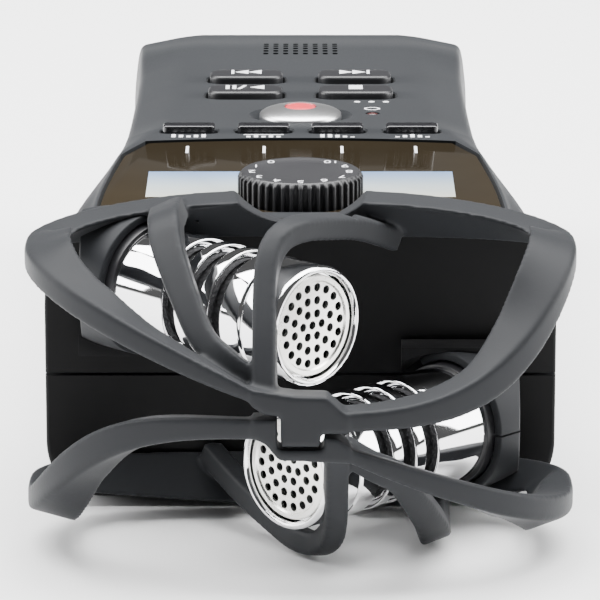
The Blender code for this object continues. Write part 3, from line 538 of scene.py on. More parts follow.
def guardOutline(angle):
    # Plan of the guard: two superellipses that meet at its widest place.
    turn = np.radians(angle)
    back = angle > 90
    power = np.where(back, 2 / guard["backPower"], 2 / guard["frontPower"])
    reach = np.where(back, guard["back"] - guard["widest"], guard["widest"])
    x = body["width"] / 2 * np.maximum(np.sin(turn), 0.0) ** power
    t = guard["widest"] - np.sign(np.cos(turn)) * reach * np.abs(np.cos(turn)) ** power
    return x, t


def rimLevels(angle, x, sweeping):
    # Heights of the rim's outer edges. One side curls in level with the nose and the other
    # falls to it in a straight line, and the bar at the back dips under the dial.
    share = x / (body["width"] / 2)
    middle = body["height"] / 2
    if sweeping:
        top = middle + 1.2 + 11.2 * share ** 3.55
        bottom = middle - 0.65 + 10.85 * share ** 4.8
    else:
        top = middle + 1.4 + 12.5 * share - 1.5 * share ** 2
        bottom = middle + 0.8 + 9.4 * share ** 1.15
    behind = angle > 90
    top = np.where(behind, middle + 12.4 + 2.6 * (1 - share ** 2.2), top)
    return top, np.where(behind, middle + 10.2, bottom)


def rimBand(side):
    angle = np.concatenate([np.linspace(5, 90, 110), np.linspace(91, 179.9, 90)])
    x, t = guardOutline(angle)
    ahead = np.stack(guardOutline(np.minimum(angle + 0.5, 180)), axis=-1)
    along = unit(ahead - np.stack(guardOutline(np.maximum(angle - 0.5, 0)), axis=-1))
    inward = np.column_stack([-along[:, 1], along[:, 0]])
    top, bottom = rimLevels(angle, x, side > 0)
    width = blended([(0, 2.4), (35, 2.9 if side > 0 else 3.2), (60, 4.2 if side > 0 else 3.4),
                     (90, 4.4), (130, 3.7), (180, 3.7)], angle)
    foot = blended([(0, 2.2), (60, 3.0), (85, 3.2), (115, 0.5), (180, 0.4)], angle)
    if side > 0:
        knots = [(0, 0.2), (35, 0.3), (52, 1.2), (66, 2.0), (90, 1.3), (115, -0.4), (180, -0.5)]
    else:
        knots = [(0, -0.9), (30, -0.3), (50, 0.7), (72, 1.8), (90, 1.2), (115, -0.4), (180, -0.5)]
    rise = blended(knots, angle)
    corners = np.stack([
        np.column_stack([x, t, top]),
        np.column_stack([x + inward[:, 0] * width, t + inward[:, 1] * width, top + rise]),
        np.column_stack([x + inward[:, 0] * foot, t + inward[:, 1] * foot, bottom + 0.3]),
        np.column_stack([x, t, bottom])], axis=1)
    corners[..., 0] *= side
    return softened(corners, guard["soft"])


def smoothPath(points, count):
    # A Catmull-Rom curve through the points.
    ends = np.array([points[0], *points, points[-1]], float)
    place = np.linspace(0, len(points) - 1 - 1e-9, count)
    i = place.astype(int)
    u = (place - i)[:, None]
    a, b, c, d = (ends[i + k] for k in range(4))
    square, cube = 2 * a - 5 * b + 4 * c - d, 3 * b - a - 3 * c + d
    return 0.5 * (2 * b + (c - a) * u + square * u ** 2 + cube * u ** 3)


def strap(points, centre, widths, depth, count=110):
    # A bar whose outer face runs along the points and whose inner face looks at a centre.
    path = smoothPath(points, count)
    along = unit(np.gradient(path, axis=0))
    inward = np.array(centre, float) - path
    inward = unit(inward - along * (inward * along).sum(axis=1)[:, None])
    across = np.cross(along, inward) * blended(widths, np.linspace(0, 1, count))[:, None] / 2
    corners = np.stack([path + across, path - across, path - across + inward * depth,
                        path + across + inward * depth], axis=1)
    return softened(corners, guard["soft"])


def noseBlock(which):
    middle = body["height"] / 2
    half = body["gap"] / 2
    left, right = middle + guard["seamStep"] + half, middle - guard["seamStep"] + half
    if which == "upper":
        tongue = guard["tongueHalf"]
        tip = middle - guard["tongueDepth"]
        edge = [(-4.4, middle + 1.9), (-3.2, left + 0.1), (-tongue, left), (-tongue, tip), (tongue, tip),
                (tongue, right), (4.2, right)]
        crown = [(3.6, middle + 1.5), (2.3, middle + 2.7), (-0.8, middle + 2.8)]
    else:
        notch = guard["tongueHalf"] + body["gap"]
        floor = middle + guard["tongueDepth"] + body["gap"]
        edge = [(-4.4, middle + 1.9), (-3.2, left + 0.1), (-notch, left), (-notch, floor), (notch, floor),
                (notch, right), (4.2, right)]
        crown = [(3.1, middle + 1.6), (1.9, middle + 3.1), (-0.8, middle + 3.2)]
    outline = np.array([*edge, (4.2, middle + 1.1), *crown, (-4.4, middle + 3.4)])
    return np.stack([np.column_stack([outline[:, 0], np.full(len(outline), t), outline[:, 1]])
                     for t in (0.0, guard["nose"])])


def melted(piece):
    change = piece.modifiers.new("melt", "REMESH")
    change.mode = "VOXEL"
    change.voxel_size = guard["voxel"] * mm


def makeGuard(which):
    middle = body["height"] / 2
    arm = strap([(-3.6, 2.6, middle + 3.0), (-6.4, 3.0, middle + 4.9), (-8.8, 5.0, middle + 6.8),
                 (-10.5, 8.2, middle + 9.9), (-12.1, 12.3, middle + 13.4), (-12.5, 15.2, middle + 15.2),
                 (-12.5, 19.0, middle + 15.3), (-12.5, 25.8, middle + 14.2)],
                (-8, 20, middle + 4), [(0, 2.2), (0.3, 2.4), (0.7, 3.0), (1, 3.2)], guard["strapDepth"])
    strut = strap([(-3.3, 0.9, middle + 2.6), (-3.3, 4.0, middle + 7.5), (-3.2, 7.5, middle + 11.9),
                   (-2.7, 9.6, middle + 14.2), (-1.5, 11.4, middle + 15.45), (0.4, 13.8, middle + 15.65),
                   (2.7, 17.5, middle + 14.9), (5.4, 22.0, middle + 13.7), (8.9, 27.4, middle + 11.3)],
                  (-2, 14, middle + 6), [(0, 2.1), (1, 2.1)], guard["strapDepth"])
    bars = [rimBand(1), rimBand(-1), arm, strut, noseBlock(which)]
    shapes = [lofted(halfOfHead(bar, which)) for bar in bars]
    piece = meshPiece(which + "GuardSkin", gathered(*shapes))
    melted(piece)
    settled(piece, 180)
    # The scoop in front of the dial
    centre = halfOfHead(np.array([0.0, 0.0, guard["scoopHeight"]]), which)
    carved(piece, [roundBar(guard["scoopRadius"], 20, 40, centre, (0, 1, 0), 96)], sharp=180)
    melted(piece)
    ease = piece.modifiers.new("ease", "SMOOTH")
    ease.factor = 0.5
    ease.iterations = guard["smoothing"]
    settled(piece, 180)
    dressed(piece, finishes["soft"])
    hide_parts(which + "_guard")
    print(which, "guard:", len(piece.data.polygons), "faces")


for which in halves:
    makeGuard(which)


# The two crossed microphones and the holders round their back ends.

mic = {"spacing": 13.4, "offset": 1.5, "faceAt": 9.1, "radius": 5.5, "bore": 4.6, "length": 24.0,
       "slotStart": 7.0, "slot": 1.55, "pitch": 2.95, "slots": 3, "bridge": 30.0, "groove": 4.4,
       "plate": 4.62, "holeRings": ((1, 0.0), (6, 1.17), (12, 2.3), (18, 3.47)), "hole": 0.4,
       "holderFace": 21.6, "holderWall": 0.8, "holderHalf": 20.3, "holderOpen": 55.0}
micLevel = (body["height"] + mic["spacing"]) / 2


def micAxis(which):
    # The centre of the face, the direction back along the barrel and the side seen in front.
    face = np.array([mic["offset"], mic["faceAt"], micLevel])
    origin = halfOfHead(face, which)
    back = math.sqrt(0.5) * (-1 if which == "upper" else 1)
    return origin, np.array([back, math.sqrt(0.5), 0.0]), np.array([back, -math.sqrt(0.5), 0.0])


def arcRing(profile, origin, axis, middle, degrees, steps=24):
    # Part of a ring: the profile of (radius, distance along) swept through an arc.
    axis, middle = unit(np.array(axis, float)), unit(np.array(middle, float))
    angle = np.radians(degrees) * (np.linspace(0, 1, steps) - 0.5)
    spoke = middle * np.cos(angle)[:, None] + np.cross(axis, middle) * np.sin(angle)[:, None]
    profile = np.asarray(profile, float)
    return lofted(origin + profile[None, :, 1, None] * axis + profile[None, :, 0, None] * spoke[:, None])


def makeSleeve(which):
    origin, axis, front = micAxis(which)
    outer, inner, groove, start = mic["radius"], mic["bore"], mic["groove"], mic["slotStart"]
    # The front barrel, with a rounded rim, a step inside it and a thin groove round it
    corners = np.array([(inner, 1.3), (4.82, 1.3), (4.82, 0.3), (4.98, 0.0), (5.28, 0.0), (outer, 0.32),
                        (outer, groove - 0.22), (outer - 0.2, groove - 0.07), (outer - 0.2, groove + 0.07),
                        (outer, groove + 0.22), (outer, start), (inner, start)])
    cuts = np.array([0.05, 0.05, 0.12, 0.12, 0.16, 0.2, 0.1, 0.05, 0.05, 0.1, 0.18, 0.05])
    rings = [turned(softened(corners, cuts), origin, axis, 128)]
    for i in range(mic["slots"]):
        low = start + mic["slot"] + i * mic["pitch"]
        high = low + mic["pitch"] - mic["slot"] if i < mic["slots"] - 1 else mic["length"]
        rings.append(turned(ringProfile(inner, outer, low, high, [0.1, 0.2, 0.2, 0.1]), origin, axis, 128))
    # The bridge that joins the rings on the side turned to the body
    end = start + mic["slot"] + (mic["slots"] - 1) * mic["pitch"] + 0.6
    bar = ringProfile(inner + 0.03, outer - 0.03, start - 0.6, end, 0.1)
    rings.append(arcRing(bar, origin, axis, -front, 2 * mic["bridge"]))
    piece = meshPiece(which + "MicSleeve", gathered(*rings), finishes["chrome"], 40)
    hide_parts(which + "_mic_sleeve")


def makeGrille(which):
    origin, axis = micAxis(which)[:2]
    radius = mic["plate"]
    corners = np.array([(0, 0.62), (3.98, 0.62), (4.12, 0.44), (radius - 0.12, 0.44), (radius, 0.56),
                        (radius, 0.95), (0, 0.95)])
    piece = meshPiece(which + "MicGrille", turned(corners, origin, axis, 96, False), finishes["plate"], 30)
    side, up = np.cross(axis, (0, 0, 1)), np.array([0.0, 0.0, 1.0])
    holes = []
    for count, ring in mic["holeRings"]:
        for k in range(count):
            turn = 2 * math.pi * (k + 0.5 * (count == 12)) / count
            centre = origin + ring * (math.cos(turn) * side + math.sin(turn) * up)
            holes.append(roundBar(mic["hole"], 0.2, 1.2, centre, axis, 16))
    carved(piece, holes, sharp=30)
    beveled(piece, 0.035, 2, 50)
    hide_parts(which + "_mic_grille")


def makeMicInside(which):
    origin, axis = micAxis(which)[:2]
    core = meshPiece(which + "MicCore", roundBar(mic["bore"] - 0.22, 3.7, mic["length"], origin, axis, 96),
                     finishes["foam"])
    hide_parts(which + "_mic_core")
    capsule = [(0, 1.4), (3.6, 1.4), (3.9, 1.6), (4.25, 1.6), (4.25, 3.4), (0, 3.4)]
    element = meshPiece(which + "MicElement", turned(capsule, origin, axis, 64, False), finishes["foam"])
    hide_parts(which + "_mic_element")
    # A black collar fills the gap between the barrel and its holder.
    collar = ringProfile(5.1, 5.74, 20.75, 24.2, 0.12)
    meshPiece(which + "MicCollar", turned(collar, origin, axis, 96), finishes["black"])


def makeHolder(which):
    # Each half is an arc round the barrel, which runs back along it until it meets the wall.
    back = math.sqrt(0.5)
    inner = mic["radius"] + body["gap"]
    start = math.radians(mic["holderOpen"])
    angle = np.linspace(start, math.pi, 64)
    for half, sign in (("_holder_cap", 1), ("_holder", -1)):
        corners = []
        for radius, atEnd in ((inner + mic["holderWall"], False), (inner + mic["holderWall"], True),
                              (inner, True), (inner, False)):
            across = radius * np.cos(angle)
            z = micLevel + sign * (radius * np.sin(angle) + body["gap"] / 3)
            along = np.full(len(angle), mic["holderFace"])
            if atEnd:
                wall = (guard["back"] - mic["faceAt"]) / back - across
                limit = np.minimum(wall, (mic["offset"] + mic["holderHalf"]) / back + across)
                along = np.maximum(limit, mic["holderFace"] + 0.4)
            corners.append(np.column_stack([mic["offset"] + back * (across - along),
                                            mic["faceAt"] + back * (along + across), z]))
        grid = softened(np.stack(corners, axis=1), 0.22)
        name = which + ("HolderCap" if sign > 0 else "Holder")
        piece = meshPiece(name, lofted(halfOfHead(grid, which)), finishes["soft"], 50)
        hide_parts(which + "_mic" + half)


for which in halves:
    for maker in (makeSleeve, makeGrille, makeMicInside, makeHolder):
        maker(which)
print("microphones made")


ledge = {"across": (9.4, 20.6), "along": (24.9, 27.9), "height": (3.6, 16.4), "room": 0.12, "soft": 0.5}


def makeLedge(which):
    # A step of the front wall that the microphone's back end passes through.
    points, faces = block(*ledge["across"], *ledge["along"], *ledge["height"])
    other = halves[1 - halves.index(which)]
    piece = meshPiece(which + "Ledge", (halfOfHead(points, other), faces))
    origin, axis = micAxis(which)[:2]
    room = mic["radius"] + body["gap"] + mic["holderWall"] + ledge["room"]
    carved(piece, [roundBar(room, 0, 40, origin, axis, 96)])
    beveled(piece, ledge["soft"], 4, 50)
    settled(piece, 40)
    # Its near-black finish is partly the wall's darker plastic and partly painted shade of the recess.
    dressed(piece, finishes["inner"])


for which in halves:
    makeLedge(which)


# The two shells of the body.

def neck(t):
    return eased((body["neckEnd"] - t) / (body["neckEnd"] - body["neckStart"]))


def sideHalf(t):
    flare = body["tailFlare"] * ((t - body["waistAt"]) / (body["length"] - body["waistAt"])) ** 2
    return body["waistHalf"] + (body["headHalf"] - body["waistHalf"]) * neck(t) + flare * (1 - neck(t))


def topHalf(t):
    return sideHalf(t) - body["topInset"] - body["headInset"] * neck(t)


panelSlope = math.tan(math.radians(body["panelSlope"]))


def panelLevel(t):
    fall = body["endDrop"] * eased((t - body["length"] + body["endDropLength"]) / body["endDropLength"])
    return body["topLevel"] - np.maximum(0.0, t - body["creaseAt"]) * panelSlope - fall


def bodyRings(t, inset):
    # Sections of the body: flat back with round edges, upright sides, a sloped shoulder and
    # the panel. Towards the far end each section bows into an arc.
    behind = eased((t - 54.5) / 20.0)
    side, edge, top = sideHalf(t), topHalf(t), panelLevel(t) - inset
    floor = body["bellyLift"] * eased((body["neckStart"] + 4 - t) / 6) + inset
    belly = body["bellySide"]
    flat = edge - 0.5 + (body["flatHalf"] - edge + 0.5) * behind
    fade = 1 - eased((t - body["length"] + body["edgeFadeFromEnd"]) / body["edgeFadeLength"])
    drop = 0.25 + (body["edgeDrop"] - 0.25) * behind * fade
    half = np.stack([
        np.column_stack([side - belly, floor]), np.column_stack([side - 0.3 * belly, floor + 0.3 * belly]),
        np.column_stack([side, floor + belly]), np.column_stack([side, top - body["shoulderDrop"]]),
        np.column_stack([edge + 0.45 * (side - edge), top - drop - 1.5]),
        np.column_stack([edge, top - drop - 0.35]), np.column_stack([flat, top])], axis=1)
    half[..., 0] -= inset
    outline = np.concatenate([half, half[:, ::-1] * (-1.0, 1.0)], axis=1)
    cuts = [1.4, 1.5, 1.4, 2.4, 1.3, 0.6, 1.6]
    outline = softened(outline, cuts + cuts[::-1], 5)
    bow = body["endBow"] * eased((t - body["length"] + body["endBowLength"]) / body["endBowLength"])
    along = t[:, None] - bow[:, None] * (outline[..., 0] / side[:, None]) ** 2
    return np.stack([outline[..., 0], along, outline[..., 1]], axis=-1)


def drawnIn(ring, amount, along):
    # A ring moved inwards by an amount and back along the body by another.
    moved = ring.copy()
    moved[:, 0] -= np.sign(ring[:, 0]) * amount
    moved[:, 2] += np.sign(body["middle"] - ring[:, 2]) * amount
    moved[:, 1] += along
    return moved


def bodyForm(inset, count):
    start, end = body["front"] + inset, body["length"] - inset
    soft, curl = 0.35, body["endRound"]
    stations = np.union1d(np.linspace(start + soft, end - curl, count), [body["creaseAt"], 54.5])
    rings = bodyRings(stations, inset)
    turn = np.linspace(0, np.pi / 2, 6)
    last = [drawnIn(rings[-1], curl * (1 - math.cos(a)), curl * math.sin(a)) for a in turn[1:]]
    # Rings that shrink towards the middle close the bowed end.
    centre = np.array([0.0, 0.0, body["middle"]])
    for share in np.linspace(0.92, 0.04, 12):
        shrunk = centre + (last[4] - centre) * (share, 1, share)
        shrunk[:, 1] = end - body["endBow"] * (share * rings[-1][:, 0] / sideHalf(end - curl)) ** 2
        last.append(shrunk)
    front = [drawnIn(rings[0], soft * (1 - math.cos(a)), -soft * math.sin(a)) for a in turn[:0:-1]]
    return lofted(np.concatenate([np.array(front), rings, np.array(last)]))


def capSize(node, skirt=1.2):
    # Centre and size of a button's cap, from its packed box with the skirt taken off.
    centre, size = middleOf(node)
    return centre, size - skirt


functionButtons = ["button_auto_level", "button_limiter", "button_lo_cut", "button_audio"]
transportButtons = ["play_pause_button", "stop_button", "forward_button", "rewind_button"]
display = {"near": 30.8, "far": 61.4, "arch": 1.3, "cornerAt": 54.5, "cornerIn": 2.2, "sink": 0.15,
           "thick": 0.9, "lit": (14.7, 37.2, 47.7), "ticks": (-11.2, -3.6, 4.1, 11.4), "tickHalf": 0.14,
           "tickFrom": 55.6, "tickTo": 58.6,
           "film": [(0.0, (0.5, 0.5, 0.44)), (0.45, (0.42, 0.48, 0.5)), (1.0, (0.2, 0.31, 0.52))]}
dial = {"ribs": 44, "ribDepth": 0.28, "digitsAt": 4.62, "digitSize": 1.5, "pitch": 28.5}
record = {"dish": 5.15, "dishDepth": 0.8, "lens": 1.5}
speaker = {"fromEnd": 19.0, "columns": 8, "rows": 5, "pitch": (1.1, 1.9), "slot": (0.6, 1.2)}
printed = {"thick": 0.04, "panelThick": 0.03, "lift": 0.05, "half": 0.95, "rowAt": 62.6, "ringAt": 77.9,
           "dotsAt": 82.0, "rows": [(1.3, 1.0, 0.7, 1.0, 1.3), (0.6, 0.9, 0.6, 0.9, 0.6), (1.3, 1.3, 1.0, 0.6, 0.25),
                    (0.4, 0.9, 1.3, 0.9, 0.4)]}


def windowOutline(grow):
    # Straight sides that follow the head, cut corners and an arched far edge.
    t = np.linspace(display["near"], display["cornerAt"], 12)
    x = topHalf(t) - 0.9
    corner = x[-1] - display["cornerIn"]
    share = np.linspace(1, 0, 12)
    x = np.concatenate([x, corner * share])
    t = np.concatenate([t, display["far"] - display["arch"] * share ** 2])
    middle = (display["near"] + display["far"]) / 2
    half = np.column_stack([x + grow * (x > 0), t + np.sign(t - middle) * grow])
    return np.concatenate([half, half[-2::-1] * (-1, 1)])


def flaredHole(outline, low, high, level, flare=0.18):
    # A straight hole whose mouth opens a little at a level, so that its edge catches light.
    outline = np.asarray(outline, float)
    centre = outline.mean(axis=0)
    out = unit(outline - centre)
    rings = [(outline, low), (outline, level - flare), (outline + out * 2.2 * flare, level + 1.2 * flare),
             (outline + out * 2.2 * flare, high)]
    return lofted(np.stack([np.column_stack([ring, np.full(len(ring), z)]) for ring, z in rings]))


def sideHole(node, grow, steps=6):
    # A hole in a side wall round a part that stands in it.
    centre, size = middleOf(node)
    side = 1 if centre[0] > 0 else -1
    width, height = size[1] + grow, size[2] + grow
    outline = rounded(width, height, min(width, height) * 0.3, centre[1], centre[2], steps)
    reach = sideHalf(centre[1])
    return sidePrism(outline, side * (reach - 6), side * (reach + 3))


def barrelRoom(which):
    origin, axis = micAxis(which)[:2]
    return roundBar(mic["radius"] + body["gap"], 0, mic["length"] + 0.3, origin, axis, 96)


def panelHoles():
    gap, top = body["gap"], body["topLevel"]
    holes = [prism(windowOutline(gap), top - display["sink"] - display["thick"] - gap, top + 3)]
    for node in functionButtons + transportButtons:
        centre, size = capSize(node)
        radius = 0.6 if node in functionButtons else 1.6
        outline = rounded(size[0] + 2 * gap, size[1] + 2 * gap, radius + gap, centre[0], centre[1])
        holes.append(flaredHole(outline, top - 8, top + 3, float(panelLevel(centre[1]))))
    centre, size = middleOf("rec_button")
    level = float(panelLevel(centre[1]))
    dish = [(0, level - 8), (4.5, level - 8), (4.5, level - record["dishDepth"]),
            (record["dish"] - 0.6, level - record["dishDepth"]), (record["dish"], level - 0.1),
            (record["dish"] + 0.3, level + 0.12), (record["dish"] + 0.3, level + 3), (0, level + 3)]
    holes.append(spun(dish, (0, centre[1]), 96))
    led, size = middleOf("rec_led")
    holes.append(post(size[0] / 2 + gap / 2, top - 8, top + 3, led, 32))
    across, along = np.meshgrid(np.arange(speaker["columns"]) - (speaker["columns"] - 1) / 2,
                                np.arange(speaker["rows"]) - (speaker["rows"] - 1) / 2)
    for x, t in zip(across.ravel() * speaker["pitch"][0], along.ravel() * speaker["pitch"][1]):
        outline = rounded(*speaker["slot"], 0.22, x, t + body["length"] - speaker["fromEnd"], 3)
        holes.append(prism(outline, top - 9, top + 3))
    return holes


def sideHoles():
    holes = [sideHole(node, -0.6) for node in ("volume_up_button", "volume_down_button", "delete_button")]
    holes += [sideHole("card_door", 0.6), sideHole("usb_port", 0.6)]
    centre, size = middleOf("power_switch")
    outline = rounded(size[1] - 1.4 + 3.6, size[2] - 0.8, 0.9, centre[1] + 1.5, centre[2])
    reach = sideHalf(centre[1])
    holes.append(sidePrism(outline, 6 - reach, -reach - 3))
    for node in ("line_in_jack", "phones_jack"):
        centre, size = middleOf(node)
        reach = sideHalf(centre[1])
        origin = (0, centre[1], centre[2])
        holes.append(roundBar(size[1] / 2 + 0.2, reach - 6, reach + 5, origin, (1, 0, 0), 48))
    return holes


def dialWell():
    centre, size = middleOf("input_dial")
    return post(size[0] / 2 + body["gap"], body["topLevel"] - 5, body["topLevel"] + 3, (0, centre[1]), 96)


def makeShells():
    split, gap = body["parting"], body["gap"]
    far = body["length"] + 10
    rooms = [barrelRoom("upper"), barrelRoom("lower")]
    top = meshPiece("topShell", bodyForm(0.0, 120))
    carved(top, [bodyForm(body["wall"], 40)], [block(-40, 40, -5, far, -5, split + gap / 2)], rooms,
           panelHoles() + sideHoles(), [dialWell()], sharp=28)
    bottom = meshPiece("bottomShell", bodyForm(0.0, 120))
    cover, size = middleOf("battery_cover")
    opening = block(-size[0] / 2 - gap, size[0] / 2 + gap, cover[1] - size[1] / 2 - gap, far, -3, 1.9)
    backHoles = [opening, post(5.1, -3, 4, (0, middleOf("tripod_insert")[0][1]), 64)]
    for i in range(4):
        centre, size = middleOf(f"case_screw_{i + 1}")
        backHoles.append(post(size[0] / 2 + gap, -3, 4, centre, 48))
    carved(bottom, [bodyForm(body["wall"], 40)], [block(-40, 40, -5, far, split - gap / 2, 40)], rooms,
           backHoles, sharp=28)
    for piece, node in ((top, "top_shell"), (bottom, "bottom_shell")):
        dressed(piece, finishes["shell"])
        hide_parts(node)
        print(piece.name, len(piece.data.polygons), "faces")


makeShells()


# The display, the dial and the controls on top.

def makeDisplay():
    half, near, far = display["lit"]
    finish = Finish("displayGlass", Roughness=0.08, Specular_IOR_Level=0.4)
    across, along = finish.parts()[:2]
    along = along + body["length"] / 2
    lit = finish.within(across, -half, half) * finish.within(along, near, far)
    ramp = finish.make("ShaderNodeValToRGB", {"stops": display["film"]}, {0: (along - near) / (far - near)})
    haze = finish.noise(180.0, 2.0)
    glass = finish.mixed(haze, (0.02, 0.015, 0.0085), (0.026, 0.02, 0.012))
    dots = finish.make("ShaderNodeTexBrick", {}, {
        "Vector": finish.here(), "Scale": 3200.0, "Mortar Size": 0.03, "Color1": (1.0, 1.0, 1.0),
        "Color2": (0.97, 0.97, 0.97), "Mortar": (0.86, 0.87, 0.88)})
    kind = {"data_type": "RGBA", "blend_type": "MULTIPLY"}
    film = finish.make("ShaderNodeMix", kind, {0: 0.6, 6: ramp, 7: dots}, 2)
    finish.set("Base Color", finish.mixed(lit, glass, film))
    finish.set("Emission Color", finish.mixed(lit, (0.0, 0.0, 0.0), film))
    finish.set("Emission Strength", 0.08)
    top = body["topLevel"] - display["sink"]
    outline = windowOutline(0.0)
    centre = np.array([0.0, (display["near"] + display["far"]) / 2])
    rings = [(0.0, -display["thick"]), (0.0, -0.12), (0.05, -0.03), (0.14, 0.0)]
    inwards = unit(centre - outline)
    grid = np.stack([np.column_stack([outline + inwards * inset, np.full(len(outline), top + z)])
                     for inset, z in rings])
    window = meshPiece("displayWindow", lofted(grid), finish.material, 30)
    carved(window, [dialWell()], sharp=30)
    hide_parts("display_window")
    half = display["tickHalf"]
    marks = [block(x - half, x + half, display["tickFrom"], display["tickTo"], top + 0.004, top + 0.03)
             for x in display["ticks"]]
    meshPiece("displayTicks", gathered(*marks), finishes["icon"])


def glyph(text, size, centre, level):
    # A number as a thin raised print that stands upright for a user at the far end.
    curve = bpy.data.curves.new("glyph", "FONT")
    curve.body = text
    curve.size = size
    curve.align_x, curve.align_y = "CENTER", "CENTER"
    curve.extrude = printed["thick"] / 2
    curve.resolution_u = 4
    holder = bpy.data.objects.new("glyph", curve)
    bpy.context.scene.collection.objects.link(holder)
    data = bpy.data.meshes.new_from_object(holder.evaluated_get(bpy.context.evaluated_depsgraph_get()))
    bpy.data.objects.remove(holder)
    points = np.empty(len(data.vertices) * 3)
    data.vertices.foreach_get("co", points)
    points = points.reshape(-1, 3)
    middle = (points[:, :2].max(axis=0) + points[:, :2].min(axis=0)) / 2
    points[:, :2] -= middle
    faces = [list(face.vertices) for face in data.polygons]
    return np.column_stack([centre[:2] - points[:, :2], level + points[:, 2]]), faces


def makeDial():
    low, high, centre = extentOf("input_dial")
    radius, base, top = (high[0] - low[0]) / 2, low[2], high[2]
    # The side swells into ribs: the radius grows by the rib depth times a rounded square wave.
    profile = np.array([(radius - 0.3, base, 0.0), (radius, base + 0.25, 1.0), (radius, base + 1.6, 1.0),
                        (radius, top - 0.55, 1.0), (radius - 0.08, top - 0.4, 0.6),
                        (radius - 0.34, top - 0.12, 0.0), (radius - 0.5, top - 0.02, 0.0),
                        (radius - 0.75, top - 0.02, 0.0),
                        (radius - 0.86, top - 0.07, 0.0), (radius * 0.5, top - 0.07, 0.0),
                        (radius * 0.2, top - 0.07, 0.0), (0.0, top - 0.07, 0.0)])
    angle = np.linspace(0, 2 * np.pi, dial["ribs"] * 14, endpoint=False)
    wave = 1 / (1 + np.exp(-7 * (np.cos(dial["ribs"] * angle) - 0.1)))
    reach = profile[:, None, 0] - dial["ribDepth"] * profile[:, None, 2] * (1 - wave)
    grid = np.stack([centre[0] + reach * np.cos(angle), centre[1] + reach * np.sin(angle),
                     np.broadcast_to(profile[:, None, 1], reach.shape)], axis=-1)
    points, faces = grid.reshape(-1, 3), gridFaces(len(profile), len(angle)).tolist()
    faces.append(list(range(len(angle)))[::-1])
    piece = meshPiece("inputDial", (points, faces), finishes["dial"], 42, "input_dial")
    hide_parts("input_dial")
    digits = []
    for number in range(11):
        turn = math.radians(-90 + (number - 5) * dial["pitch"])
        place = centre[:2] + dial["digitsAt"] * np.array([math.cos(turn), math.sin(turn)])
        digits.append(glyph(str(number), dial["digitSize"], place, top - 0.05))
    meshPiece("dialDigits", gathered(*digits), finishes["icon"], 60, "input_dial")


def capLoft(outlineOf, foot, flange, top, skirt, soft, slope=0.0, at=0.0, crown=0.0):
    # A button: a skirt under the shell, then a cap with a rounded rim and a slightly crowned
    # top that follows the slope of the panel.
    rings = [(skirt, foot), (skirt, flange), (0.0, flange)]
    for a in np.linspace(0, np.pi / 2, 6):
        rings.append((-soft * (1 - math.cos(a)), top - soft * (1 - math.sin(a))))
    rings += [(-soft - 0.5, top + 0.4 * crown), (-soft - 0.95, top + 0.8 * crown)]
    grid = []
    for inset, z in rings:
        outline = outlineOf(inset)
        lean = slope * (outline[:, 1] - at) * (z > flange + 0.01)
        grid.append(np.column_stack([outline, z - lean]))
    return lofted(np.stack(grid))


def makePanelButtons():
    for node in functionButtons + transportButtons:
        low, high = inMillimetres(node)
        centre, size = capSize(node)
        transport = node in transportButtons
        radius, soft = (1.6, 0.42) if transport else (0.5, 0.22)
        lean = panelSlope if transport else 0.0

        def outline(inset, size=size, radius=radius, centre=centre):
            width, length = size[:2] + 2 * inset
            return rounded(width, length, max(radius + inset, 0.12), centre[0], centre[1], 8)

        shape = capLoft(outline, low[2], low[2] + 0.8, high[2], 0.6, soft, lean, centre[1], 0.05)
        piece = meshPiece(node.replace("_", " ").title().replace(" ", "") + "Cap", shape,
                          finishes["black" if transport else "gloss"], 40, node)
        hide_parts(node)
    print("buttons made")


def triangle(x, t, width, level, pointing):
    # A thin triangle that points along the recorder's width.
    foot, tip, half = x - pointing * width / 2, x + pointing * width / 2, printed["half"]
    outline = [(foot, t - half), (foot, t + half), (tip, t)][::-pointing]
    return prism(outline, level, level + printed["thick"])


def bar(x, t, width, length, level):
    return block(x - width / 2, x + width / 2, t - length / 2, t + length / 2, level, level + printed["thick"])


def makeSigns():
    # Printed signs on the buttons. The user stands at the far end, so they are drawn turned.
    half, thick = printed["half"], printed["thick"]
    for node, side in (("forward_button", -1), ("rewind_button", 1), ("play_pause_button", 0), ("stop_button", 0)):
        x, t = middleOf(node)[0][:2]
        z = inMillimetres(node)[1][2] + printed["lift"]
        if side:
            x -= side * 0.15
            shapes = [triangle(x - side * 0.78, t, 1.4, z, side), triangle(x + side * 0.62, t, 1.4, z, side),
                      bar(x + side * 1.6, t, 0.3, 2 * half, z)]
        elif node == "stop_button":
            shapes = [bar(x, t, 1.44, 2 * half, z)]
        else:
            slash = [(x + 0.15, t + 0.9), (x - 0.2, t + 0.9), (x - 0.85, t - 0.9), (x - 0.5, t - 0.9)]
            shapes = [triangle(x + 1.25, t, 1.5, z, -1), prism(slash, z, z + thick),
                      bar(x - 1.15, t, 0.4, 1.8, z), bar(x - 1.85, t, 0.4, 1.8, z)]
        meshPiece(node.split("_")[0] + "Sign", gathered(*shapes), finishes["icon"], 60, node)


